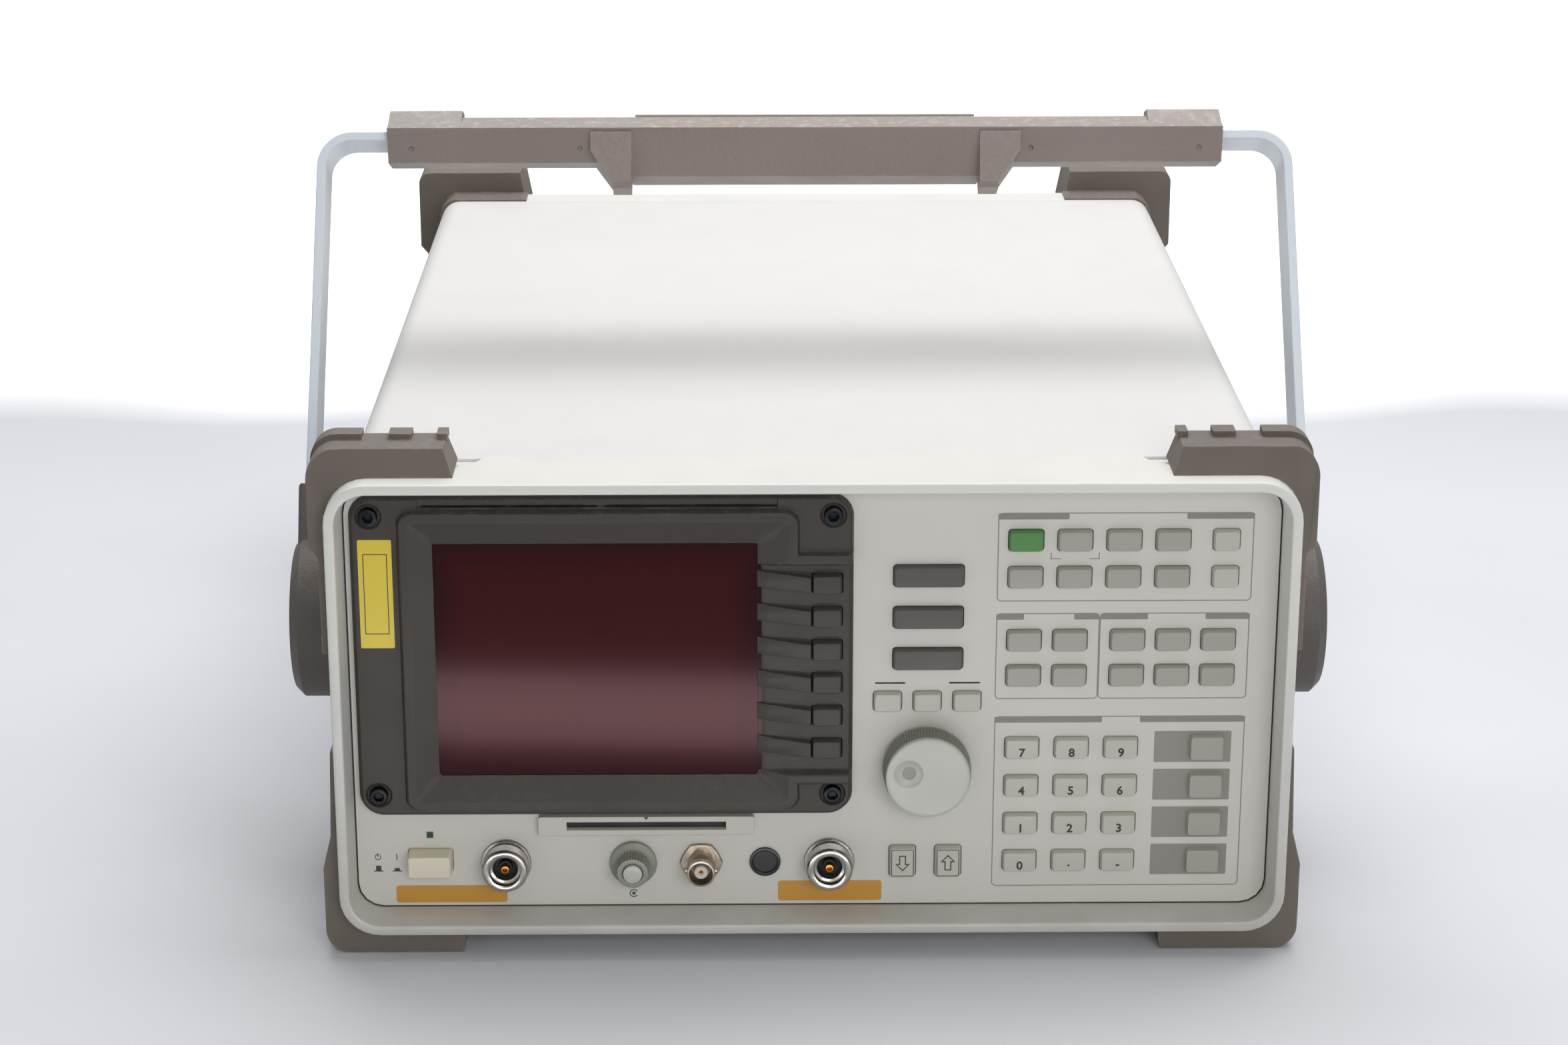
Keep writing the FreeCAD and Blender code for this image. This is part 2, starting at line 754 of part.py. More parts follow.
def build_line_parts():
    switch_front = lip_back + line_travel + seat_gap
    half = line_width / 2
    low, high = line_z - line_height / 2, line_z + line_height / 2
    body = block(line_x - half, line_x + half, switch_front, switch_front + 22, low, high)
    ear_in = half + key_lip + 0.6
    yoke = block(line_x - ear_in - 2, line_x + ear_in + 2, switch_front, switch_front + 2, low, high)
    ears = [block(line_x + s * (ear_in + 1) - 1, line_x + s * (ear_in + 1) + 1,
                  panel_back, switch_front, low, high) for s in (-1, 1)]
    save("line_switch", [join(body, [yoke] + ears)])
    size = lamp_size / 2
    lens = block(line_x - size, line_x + size, panel_recess - 0.3, panel_back + 4,
                 lamp_z - size, lamp_z + size)
    save("line_lamp", [lens])


# ---- case, rear and bumpers --------------------------------------------------

def build_case():
    cover = case_block(0, frame_depth, cover_back).cut(case_block(case_wall, frame_depth, cover_back))
    hole = rod_x(pivot_back, pivot_height, pivot_stud_radius + hole_clearance, -frame_width, frame_width)
    save("case_cover", [cover.cut(hole)])
    rim_outer = case_wall + slip_gap
    ledge_front = rear_panel_front - frame_ledge_thickness
    rear = case_block(0, cover_back, body_depth)
    rear = rear.cut([case_block(rear_frame_wall, rear_panel_front, body_depth),
                     case_block(rear_frame_wall + frame_ledge, cover_back, rear_panel_front),
                     case_block(rear_frame_wall, cover_back, ledge_front)])
    rim = case_block(rim_outer, cover_back - rim_length, cover_back + 1)
    rim = rim.cut(case_block(rim_outer + rim_wall, cover_back - rim_length, cover_back + 1))
    save("rear_frame", [join(rear, [rim])])


def rear_sockets():
    """(x, z) of the row of rear coaxial jacks."""
    return [(jack_x0 + jack_pitch * i, jack_z) for i in range(5)]


def centred_block(x, z, size, y0, y1):
    return block(x - size[0] / 2, x + size[0] / 2, y0, y1, z - size[1] / 2, z + size[1] / 2)


def build_rear_panel():
    y0, y1 = rear_panel_front, rear_panel_front + rear_panel_thickness
    grow = 2 * hole_clearance
    plate = case_block(rear_frame_wall + panel_gap, y0, y1)
    cuts = []
    for ring in range(1, vent_rings + 1):
        for i in range(6 * ring):
            a = math.pi * i / (3 * ring)
            radius = ring * vent_pitch
            cuts.append(rod_y(fan_x + radius * math.cos(a), fan_z + radius * math.sin(a), vent_radius, y0, y1))
    cuts += [rod_y(x, z, jack_radius + 0.1, y0, y1) for x, z in rear_sockets()]
    cuts.append(centred_block(inlet_x, inlet_z, [v + grow for v in inlet_shell], y0, y1))
    cuts.append(centred_block(port_x, port_z, [v + grow for v in port_shell], y0, y1))
    save("rear_panel", [plate.cut(cuts)])
    jacks = []
    for x, z in rear_sockets():
        jack = join(rod_y(x, z, jack_radius, y0 - 12, y1 + 10), [rod_y(x, z, jack_flange_radius, y0 - 2, y0)])
        jacks.append(jack.cut(rod_y(x, z, jack_bore_radius, y1 + 2, y1 + 10)))
    flange = centred_block(inlet_x, inlet_z, inlet_flange, y1, y1 + 2)
    shell = centred_block(inlet_x, inlet_z, inlet_shell, y0 - inlet_depth, y1)
    well = y0 - inlet_well
    inlet = join(flange, [shell]).cut(rounded_block(inlet_x, inlet_z, *inlet_mouth, 2.0, well, y1 + 2))
    blades = [centred_block(inlet_x + x, inlet_z + z, inlet_blade, well, y1)
              for x, z in inlet_blade_places]
    port = join(centred_block(port_x, port_z, port_shell, y0 - 10, y1 + 3),
                [centred_block(port_x, port_z, port_flange, y1, y1 + 2)])
    port = port.cut(centred_block(port_x, port_z, port_mouth, y1 - 4, y1 + 3))
    save("rear_connectors", jacks + [join(inlet, blades), port])


def bumper_face(upper, inner, y, top_corner=bumper_top_corner):
    """Outline of a corner bumper's thick part at the right, in the plane of constant y.

    inner is (half width, lower edge, upper edge, corner radius) of what it wraps."""
    wrap_x, wrap_low, wrap_high, wrap_r = inner
    line = lambda xa, za, xb, zb: Part.LineSegment(V(xa, y, za), V(xb, y, zb)).toShape()
    side = half_width + bumper_flange
    end = bumper_inner_end
    if upper:
        top = frame_height + bumper_crown
        r = top_corner
        step = frame_height - thick_drop
        edges = [line(end, wrap_high, end + bumper_end_flare, top),
                 line(end + bumper_end_flare, top, bumper_half - r, top),
                 arc(V(bumper_half - r, y, top), V(bumper_half - r, y, top - r), r, 45,
                     V(bumper_half, y, top - r)),
                 line(bumper_half, top - r, bumper_half, step),
                 line(bumper_half, step, side, step - bumper_flange - 0.5),
                 line(side, step - bumper_flange - 0.5, side, frame_height - flange_drop),
                 line(side, frame_height - flange_drop, wrap_x, frame_height - flange_drop),
                 line(wrap_x, frame_height - flange_drop, wrap_x, wrap_high - wrap_r),
                 arc(V(wrap_x, y, wrap_high - wrap_r), V(wrap_x - wrap_r, y, wrap_high - wrap_r),
                     wrap_r, 45, V(wrap_x - wrap_r, y, wrap_high)),
                 line(wrap_x - wrap_r, wrap_high, end, wrap_high)]
    else:
        low = -foot_height
        r = foot_corner
        edges = [line(end, wrap_low, end + foot_end_flare, low),
                 line(end + foot_end_flare, low, bumper_half - r, low),
                 arc(V(bumper_half - r, y, low), V(bumper_half - r, y, low + r), r, -45,
                     V(bumper_half, y, low + r)),
                 line(bumper_half, low + r, bumper_half, foot_thick_rise),
                 line(bumper_half, foot_thick_rise, side, foot_thick_rise + flange_slope),
                 line(side, foot_thick_rise + flange_slope, side - 1.0, foot_flange_rise),
                 line(side - 1.0, foot_flange_rise, wrap_x, foot_flange_rise + 1.5),
                 line(wrap_x, foot_flange_rise + 1.5, wrap_x, wrap_low + wrap_r),
                 arc(V(wrap_x, y, wrap_low + wrap_r), V(wrap_x - wrap_r, y, wrap_low + wrap_r),
                     wrap_r, -45, V(wrap_x - wrap_r, y, wrap_low)),
                 line(wrap_x - wrap_r, wrap_low, end, wrap_low)]
    return Part.Face(Part.Wire(edges))


def stacking_ribs(y0, y1):
    """Three raised pads on a top bumper that keep a stacked instrument in place."""
    top = frame_height + bumper_crown
    sink = 0.5
    thin = block(*thin_rib, y0, y1, top - sink, top + rib_height)
    middle = block(*middle_rib, y0, y1, top - sink, top + rib_height)
    wide = block(wide_rib_start, bumper_half, y0, y1, top - wide_rib_drop, top + rib_height)
    corner = [e for e in wide.Edges if e.BoundBox.XMin > bumper_half - 0.1 and e.BoundBox.ZMin > top]
    wide = wide.makeFillet(bumper_top_corner, corner)
    return [thin, middle, wide]


def build_bumpers():
    frame_wrap = (half_width, 0.0, frame_height, frame_corner)
    fronts = []
    for upper in (True, False):
        body = bumper_face(upper, frame_wrap, bumper_front).extrude(V(0, bumper_back - bumper_front, 0))
        if upper:
            frame = frame_block(-rib_root, bumper_front, bumper_back)
            body = join(body, [rib.cut(frame) for rib in stacking_ribs(rib_front, bumper_back)])
        fronts += both_sides(body)
    save("front_bumpers", fronts)
    hold = rear_foot_overlap
    inner_wrap = (case_half - hold, case_mid_z - case_height / 2 + hold, case_top - hold, 2.0)
    sleeve = case_block(-rear_flange, cover_back, body_depth).cut(case_block(0, cover_back, body_depth))
    rears = []
    for upper in (True, False):
        body = bumper_face(upper, inner_wrap, body_depth, rear_top_corner)
        body = body.extrude(V(0, rear_foot_length, 0))
        low = frame_height - flange_drop if upper else -foot_height
        high = frame_height if upper else foot_flange_rise
        corner = block(bumper_inner_end, half_width, cover_back, body_depth, low, high)
        body = join(body, [sleeve.common(corner)])
        rears += both_sides(body)
    save("rear_bumpers", rears)


# ---- handle ------------------------------------------------------------------

def lean_back(solids):
    leaned = []
    for solid in solids:
        solid = solid.copy()
        solid.rotate(V(0, pivot_back, pivot_height), V(1, 0, 0), -handle_lean)
        leaned.append(solid)
    return leaned


def strap_side(outward):
    """Half of the strap's outline in the x-z plane, offset outward from its inside face.

    The arm is straight and parallel inside the hub cap, then closes in to the top bend."""
    z = pivot_height
    grow = outward
    bottom = strap_half_span - strap_thickness + grow
    top_x = strap_top_half_span - strap_thickness + grow
    top_z = z + arm_length - strap_thickness + grow
    r = strap_bend - strap_thickness + grow
    return [(bottom, z - strap_width / 2), (bottom, z + cap_arm_length),
            (top_x, top_z - r), (top_x - r, top_z)], r


def build_strap():
    y = pivot_back - strap_width / 2
    edges = []
    outer, r_out = strap_side(strap_thickness)
    inner, r_in = strap_side(0)
    line = lambda a, b: Part.LineSegment(V(a[0], y, a[1]), V(b[0], y, b[1])).toShape()
    flip = lambda p: (-p[0], p[1])
    for points, r in ((outer, r_out), (inner, r_in)):
        centre = V(points[3][0], y, points[2][1])
        for mirror in (False, True):
            p = [flip(q) for q in points] if mirror else points
            c = V(-centre.x, y, centre.z) if mirror else centre
            edges += [line(p[0], p[1]), line(p[1], p[2]),
                      arc(V(p[2][0], y, p[2][1]), c, r, 135 if mirror else 45, V(p[3][0], y, p[3][1]))]
        edges.append(line(points[3], flip(points[3])))
    for sign in (1, -1):
        a = (sign * outer[0][0], outer[0][1])
        b = (sign * inner[0][0], inner[0][1])
        edges.append(line(a, b))
    face = Part.Face(Part.Wire(Part.__sortEdges__(edges)))
    return face.extrude(V(0, strap_width, 0))


def build_grip(strap):
    """Moulded hand grip around the strap's top: a body, end blocks, a pad and two horns."""
    z = pivot_height
    w = grip_half_width
    y = lambda offset: pivot_back + offset
    bottom, edge, top = z + grip_bottom, z + grip_edge, z + grip_top
    section = [(y(-w), edge), (y(-3), top - 1.2), (y(6), top),
               (y(w - 1), top - 2.2), (y(w), edge), (y(w), bottom), (y(8), bottom - 3.8),
               (y(-7), bottom - 5.4)]
    body = prism_x(section, -grip_half_length, grip_half_length)
    belly_low = z + grip_belly
    low = [(y(-w), edge), (y(w - 1), bottom - 1.0), (y(8), belly_low), (y(-6), belly_low)]
    belly = prism_x(low, -horn_inner, horn_inner)
    crown_top = top + grip_block_rise
    crown = [(y(2 - w), edge), (y(-3), crown_top - 1.2), (y(6), crown_top), (y(w - 1), edge + 2.7)]
    start = grip_half_length - grip_block_length
    blocks = both_sides(prism_x(crown, start, grip_half_length))
    pad_top = top + grip_pad_rise
    pad = [(y(2), top - 3.2), (y(2), pad_top - 0.4), (y(9), pad_top - 0.2), (y(w - 1), top - 3.2)]
    pad = prism_x(pad, -grip_pad_half_length, grip_pad_half_length)
    foot = z + horn_foot
    horn_side = [(y(-w), edge - 1.5), (y(2.5 - w), foot + 2), (y(5 - w), foot), (y(2), foot),
                 (y(8), bottom - 3), (y(8), bottom + 3)]
    horn = prism_x(horn_side, horn_inner, horn_inner + horn_top_width)
    slope_start = horn_inner + horn_bottom_width
    slope_end = horn_inner + horn_top_width
    wedge = Part.Face(Part.makePolygon([
        V(slope_start, 0, foot - 1.5), V(slope_start, 0, foot + 1.5), V(slope_end, 0, foot + 13.5),
        V(slope_end + 1, 0, foot - 1.5), V(slope_start, 0, foot - 1.5)]))
    horns = both_sides(horn.cut(wedge.extrude(V(0, 2 * pivot_back, 0))))
    grip = join(body, [belly, pad] + blocks + horns)
    holes = [rod_y(x, bottom - 0.8, grip_hole_radius, y(-w), y(-w) + grip_hole_depth)
             for x in grip_hole_x]
    return grip.cut(holes + [strap])


def hub_cap(strap):
    """Right hub cap: a round boss with a bevelled face, and a cover up the arm."""
    y, z = pivot_back, pivot_height
    straight = cap_half_span - cap_bevel
    boss = rod_x(y, z, cap_radius, cap_inner, straight)
    dome = Part.makeCone(cap_radius, cap_face_radius, cap_bevel, V(straight, y, z), V(1, 0, 0))
    w = cap_arm_half_width
    cover_in = strap_half_span - strap_thickness - 2.2
    cover = block(cover_in, cap_half_span - 1.0, y - w, y + w, z, z + cap_arm_length)
    edges = [e for e in cover.Edges if e.BoundBox.XMin > cap_half_span - 1.1
             and e.BoundBox.ZMax > z + 1.0]
    cover = cover.makeFillet(1.4, edges)
    cap = join(boss, [dome, cover])
    bore = rod_x(y, z, pivot_pin_radius + running_gap, cap_inner, pivot_seat + pivot_pin_length + seat_gap)
    return cap.cut([bore, strap])


def build_handle():
    strap = build_strap()
    save("handle_strap", lean_back([strap]))
    save("handle_grip", lean_back([build_grip(strap)]))
    save("handle_caps", lean_back(both_sides(hub_cap(strap))))
    y, z = pivot_back, pivot_height
    disc = rod_x(y, z, pivot_disc_radius, case_half, pivot_seat)
    pin = rod_x(y, z, pivot_pin_radius, pivot_seat, pivot_seat + pivot_pin_length)
    nut_face = chassis_half - chassis_sheet
    nut_back = nut_face - nut_thickness
    stud = rod_x(y, z, pivot_stud_radius, nut_back - 1.0, case_half)
    pivot = join(disc, [pin, stud])
    radius = nut_across / math.sqrt(3)
    points = [(y + radius * math.cos(math.radians(60 * i)), z + radius * math.sin(math.radians(60 * i)))
              for i in range(6)]
    nut = prism_x(points, nut_back, nut_face).cut(rod_x(y, z, pivot_stud_radius, nut_back, nut_face))
    save("handle_pivots", both_sides(pivot) + both_sides(nut))


# ---- inside ------------------------------------------------------------------

def board_places():
    return [board_first_x + board_pitch * i for i in range(board_count)]


def build_chassis():
    half, low, sheet = chassis_half, chassis_floor, chassis_sheet
    top = case_top - case_wall - 6.0
    y0, y1 = chassis_front, chassis_back
    floor = block(-half, half, y0, y1, low, low + sheet)
    side = block(half - sheet, half, y0, y1, low, top)
    side = side.cut(rod_x(pivot_back, pivot_height, pivot_stud_radius + hole_clearance, 0, frame_width))
    wall = block(-half, half, y0, y0 + sheet, low, top)
    wall = wall.cut([
        rounded_block(screen_x, screen_z, tube_width + 2 * tube_window, tube_height + 2 * tube_window,
                      tube_corner, y0, y0 + sheet),
        block(line_x - 20, probe_x + 40, y0, y0 + sheet, floor_top, card_z + 8),
        block(15, 120, y0, y0 + sheet, floor_top + 10, top - 15)])
    guides = []
    for x in board_places():
        for s in (-1, 1):
            inner = x + s * (board_thickness / 2 + seat_gap)
            outer = inner + s * guide_thickness
            guides.append(block(min(inner, outer), max(inner, outer), board_front, board_front + board_length,
                                low + sheet, low + sheet + board_seat))
    tray = join(floor, both_sides(side) + [wall] + guides)
    tray = tray.common(case_block(case_wall + case_clearance, y0, y1))
    mid_y = board_front - 6.0
    bridge = block(-half + sheet, half - sheet, mid_y, mid_y + sheet, low + sheet, low + 60)
    bridge = bridge.cut(block(-half + 20, half - 20, mid_y, mid_y + sheet, low + 25, low + 52))
    save("chassis", [join(tray, [bridge])])


def build_boards():
    base = floor_top + seat_gap
    boards = []
    for n, x in enumerate(board_places()):
        t = board_thickness / 2
        board = block(x - t, x + t, board_front + 0.5, board_front + board_length, base, base + board_height)
        parts = []
        for i in range(chip_count):
            y = board_front + board_length * (chip_start + chip_pitch * i)
            z = base + 22 + 18 * ((i + n) % 4)
            depth = 4.0 + 2.0 * ((i + n) % 3)
            parts.append(block(x + t, x + t + depth, y, y + board_length * chip_size, z, z + 14 + 4 * (i % 2)))
        boards.append(join(board, parts))
    save("circuit_boards", boards)


def build_modules():
    """Shielded radio-frequency modules and the power supply, standing on the chassis floor."""
    base = floor_top
    x, width, height, front, back = input_module
    input_box = rounded_block(x, base + height / 2, width, height, 2.0, front, back)
    r = oscillator_radius
    oscillator = rod_y(oscillator_x, base + r + 2, r, *oscillator_span)
    foot = block(oscillator_x - r + 6, oscillator_x + r - 6, *oscillator_span, base, base + 8)
    oscillator = join(oscillator, [foot])
    attenuator = block(*attenuator_box, base, base + attenuator_height)
    save("rf_modules", [input_box, oscillator.cut(input_box), attenuator])
    x1 = chassis_half - chassis_sheet - seat_gap
    x0 = x1 - supply_width
    y0 = board_front + 2.0
    supply = block(x0, x1, y0, y0 + supply_length, base, base + supply_height)
    vents = []
    for i in range(vent_slots):
        x = x0 + 8 + vent_slot_pitch * i
        vents.append(block(x, x + vent_slot_width, y0 + vent_slot_margin, y0 + supply_length - vent_slot_margin,
                           base + supply_height - 3, base + supply_height))
    save("power_supply", [supply.cut(vents)])


def build_fan():
    y1 = rear_panel_front
    y0 = y1 - fan_depth
    shell = rounded_block(fan_x, fan_z, fan_size, fan_size, 4.0, y0, y1)
    shell = shell.cut(rod_y(fan_x, fan_z, fan_bore, y0, y1))
    motor = rod_y(fan_x, fan_z, fan_hub_radius, y0, y0 + fan_plate)
    struts = []
    for i in range(4):
        arm = block(fan_x + 2, fan_x + fan_bore + 1, y0, y0 + fan_plate,
                    fan_z - fan_strut_half_width, fan_z + fan_strut_half_width)
        arm.rotate(V(fan_x, y0, fan_z), V(0, 1, 0), 45 + 90 * i)
        struts.append(arm)
    shaft = rod_y(fan_x, fan_z, fan_shaft_radius, y0 + fan_plate, y1 - 5)
    save("fan_housing", [join(shell, [motor, shaft] + struts)])
    r0, r1 = y0 + fan_plate + seat_gap, y1 - fan_plate
    hub = rod_y(fan_x, fan_z, fan_hub_radius, r0, r1)
    blades = []
    for i in range(fan_blades):
        blade = block(fan_x + fan_hub_radius - 1.5, fan_x + fan_blade_radius, r0 + 7, r0 + 9,
                      fan_z - fan_blade_half_width, fan_z + fan_blade_half_width)
        blade.rotate(V(fan_x, r0 + 8, fan_z), V(1, 0, 0), fan_blade_angle)
        blade.rotate(V(fan_x, r0 + 8, fan_z), V(0, 1, 0), 360.0 / fan_blades * i)
        blades.append(blade)
    rotor = join(hub, blades)
    rotor = rotor.common(rod_y(fan_x, fan_z, fan_blade_radius, r0, r1))
    rotor = rotor.cut(rod_y(fan_x, fan_z, fan_shaft_radius + running_gap, r0, y1 - 4.5))
    save("fan_rotor", [rotor])


os.makedirs("parts", exist_ok=True)
build_keys()
build_front_frame()
build_front_panel()
build_keyboard()
build_display()
build_picture_tube()
build_tuning_knob()
build_level_knobs()
build_encoders()
build_connectors()
build_card_slot()
build_line_parts()
build_case()
build_rear_panel()
build_bumpers()
build_handle()
build_chassis()
build_boards()
build_modules()
build_fan()
print("overall", cap_half_span * 2, overall_depth, foot_height + frame_height)
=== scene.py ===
import json
import math

import bmesh
import bpy
import numpy as np
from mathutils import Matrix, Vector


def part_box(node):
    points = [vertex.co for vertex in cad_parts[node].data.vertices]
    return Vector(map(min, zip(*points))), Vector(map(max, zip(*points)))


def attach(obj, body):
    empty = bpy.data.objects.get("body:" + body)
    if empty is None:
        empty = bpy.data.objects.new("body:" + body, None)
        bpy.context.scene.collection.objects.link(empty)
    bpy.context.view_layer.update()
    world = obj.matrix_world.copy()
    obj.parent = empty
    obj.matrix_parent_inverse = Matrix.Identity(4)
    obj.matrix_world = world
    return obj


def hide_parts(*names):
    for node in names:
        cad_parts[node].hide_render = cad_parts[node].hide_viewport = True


# Looks of a portable bench spectrum analyzer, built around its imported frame.
# Shapes are worked out in millimetres in the front's own frame: x across from the middle,
# y rearward from the front frame's front plane, z up from that frame's lower edge.

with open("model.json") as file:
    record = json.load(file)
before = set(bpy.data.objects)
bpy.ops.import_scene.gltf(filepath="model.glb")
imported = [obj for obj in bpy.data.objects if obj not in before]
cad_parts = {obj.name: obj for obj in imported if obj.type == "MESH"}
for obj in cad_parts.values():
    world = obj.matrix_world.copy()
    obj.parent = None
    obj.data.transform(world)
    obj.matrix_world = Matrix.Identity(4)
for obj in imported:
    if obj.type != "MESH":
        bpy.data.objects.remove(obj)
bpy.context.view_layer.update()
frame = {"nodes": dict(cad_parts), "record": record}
nodes = frame["nodes"]
MM = 0.001


def extent(node):
    """Lowest and highest corner of a CAD node, in the front's own frame, in millimetres."""
    low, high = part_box(node)
    return (np.array(low) - ORIGIN) / MM, (np.array(high) - ORIGIN) / MM


frame_low, frame_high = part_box("front_frame")
ORIGIN = np.array([0.0, frame_low.y, frame_low.z])
FRAME_WIDTH = (frame_high.x - frame_low.x) / MM
FRAME_HEIGHT = (frame_high.z - frame_low.z) / MM
MID_Z = FRAME_HEIGHT / 2
PANEL_Y = extent("front_panel")[0][1]
SHARP = math.radians(32)


def circle(count):
    """Angles evenly spaced round a full turn."""
    return np.linspace(0, 2 * math.pi, count, endpoint=False)


def hexagon(angle):
    """Distance from the middle to a hexagon's side in a direction: 1 at the corners, cos 30 at the flats."""
    return np.cos(math.pi / 6) / np.cos((angle % (math.pi / 3)) - math.pi / 6)


def into_scene(name, data):
    """New object for the data, linked into the scene."""
    item = bpy.data.objects.new(name, data)
    bpy.context.scene.collection.objects.link(item)
    return item


# ---- camera, light and floor ----

def make_camera():
    """A 78 mm lens a metre in front and half a metre up, looking 18.6 degrees down."""
    data = bpy.data.cameras.new("view")
    data.lens, data.sensor_width = 78.08, 36.0
    camera = into_scene("view", data)
    camera.location = ORIGIN + np.array([-21.9, -1066.4, 507.9]) * MM
    camera.rotation_euler = (math.radians(90 - 18.561), 0, math.radians(-0.645))
    bpy.context.scene.camera = camera


def area_light(name, place, target, size, watts):
    """Rectangular light turned to face its target."""
    data = bpy.data.lights.new(name, "AREA")
    data.shape, data.size, data.size_y = "RECTANGLE", size[0], size[1]
    data.energy = watts
    lamp = into_scene(name, data)
    lamp.location = place
    aim = np.array(target) - np.array(place)
    lamp.rotation_euler = (math.atan2(math.hypot(aim[0], aim[1]), -aim[2]), 0,
                           math.atan2(aim[1], aim[0]) - math.pi / 2)
    return lamp


def make_studio():
    """A large soft box overhead, a weaker one in front, and a low strip before the screen.

    The world is white to the eye; as light it grows from dim at the horizon to bright overhead."""
    area_light("overhead", (0.12, 0.25, 1.35), (0, 0.02, 0.1), (1.5, 0.9), 15.3)
    area_light("front_box", (0.5, -1.9, 0.7), (0, -0.2, 0.1), (1.1, 0.7), 9.4)
    strip = area_light("low_strip", (-0.05, -0.408, 0.010), (-0.06, -0.23, 0.10), (0.30, 0.034), 0.26)
    strip.visible_diffuse = strip.visible_camera = False
    world = bpy.data.worlds.new("studio")
    bpy.context.scene.world = world
    world.use_nodes = True
    tree = Nodes(world.node_tree)
    upward = tree.axis(tree.place("Generated"), "Z")
    path = tree.add("ShaderNodeLightPath")
    lit = tree.remap(upward, 0.05, 0.8, 0.12, 0.42)
    mirrored = tree.remap(upward, -0.05, 0.6, 0.22, 1.0)
    level = tree.mix_value(path.outputs["Is Glossy Ray"], lit, mirrored)
    seen = tree.math("MAXIMUM", path.outputs["Is Camera Ray"], path.outputs["Is Transmission Ray"])
    level = tree.mix_value(seen, level, 1.0)
    background = world.node_tree.nodes["Background"]
    background.inputs["Color"].default_value = (1, 1, 1, 1)
    tree.link(level, background.inputs["Strength"])


# ---- node building ----

class Nodes:
    """Short ways to add nodes to one tree."""

    def __init__(self, tree):
        self.tree = tree

    def add(self, kind, **values):
        node = self.tree.nodes.new(kind)
        for key, value in values.items():
            setattr(node, key, value)
        return node

    def link(self, source, target):
        self.tree.links.new(source, target)

    def feed(self, socket, value):
        if isinstance(value, bpy.types.NodeSocket):
            self.link(value, socket)
        else:
            socket.default_value = value

    def math(self, operation, a, b=0.0, clamp=False):
        node = self.add("ShaderNodeMath", operation=operation, use_clamp=clamp)
        self.feed(node.inputs[0], a)
        self.feed(node.inputs[1], b)
        return node.outputs[0]

    def mix_value(self, factor, a, b):
        node = self.add("ShaderNodeMix", data_type="FLOAT")
        for socket, value in zip((0, 2, 3), (factor, a, b)):
            self.feed(node.inputs[socket], value)
        return node.outputs[0]

    def mix_colour(self, factor, a, b):
        node = self.add("ShaderNodeMix", data_type="RGBA")
        for socket, value in zip((0, 6, 7), (factor, a, b)):
            self.feed(node.inputs[socket], value)
        return node.outputs[2]

    def times(self, a, b, clamp=False):
        return self.math("MULTIPLY", a, b, clamp)

    def place(self, kind="Object"):
        return self.add("ShaderNodeTexCoord").outputs[kind]

    def axis(self, vector, name):
        node = self.add("ShaderNodeSeparateXYZ")
        self.link(vector, node.inputs[0])
        return node.outputs[name]

    def bumped(self, height, distance):
        node = self.add("ShaderNodeBump")
        self.feed(node.inputs["Distance"], distance)
        self.link(height, node.inputs["Height"])
        return node.outputs[0]

    def noise(self, where, scale, detail=2.0, roughness=0.5):
        node = self.add("ShaderNodeTexNoise")
        self.link(where, node.inputs["Vector"])
        self.feed(node.inputs["Scale"], scale)
        node.inputs["Detail"].default_value = detail
        node.inputs["Roughness"].default_value = roughness
        return node.outputs["Fac"]

    def remap(self, value, low, high, to_low=0.0, to_high=1.0):
        node = self.add("ShaderNodeMapRange", clamp=True)
        for socket, given in zip(range(5), (value, low, high, to_low, to_high)):
            self.feed(node.inputs[socket], given)
        return node.outputs[0]


def new_group(name, colours, numbers):
    """Shader node group that takes colours and numbers and gives a colour, a roughness and a normal."""
    tree = bpy.data.node_groups.new(name, "ShaderNodeTree")
    for kind, labels in (("Color", colours), ("Float", numbers)):
        for label in labels:
            tree.interface.new_socket(label, in_out="INPUT", socket_type="NodeSocket" + kind)
    for label, kind in (("Colour", "Color"), ("Roughness", "Float"), ("Normal", "Vector")):
        tree.interface.new_socket(label, in_out="OUTPUT", socket_type="NodeSocket" + kind)
    n = Nodes(tree)
    return n, n.add("NodeGroupInput").outputs, n.add("NodeGroupOutput").inputs


def rgb(red, green, blue):
    """Linear colour from display values of 0 to 255."""
    levels = np.array([red, green, blue]) / 255.0
    linear = np.where(levels <= 0.04045, levels / 12.92, ((levels + 0.055) / 1.055) ** 2.4)
    return (*linear.tolist(), 1.0)


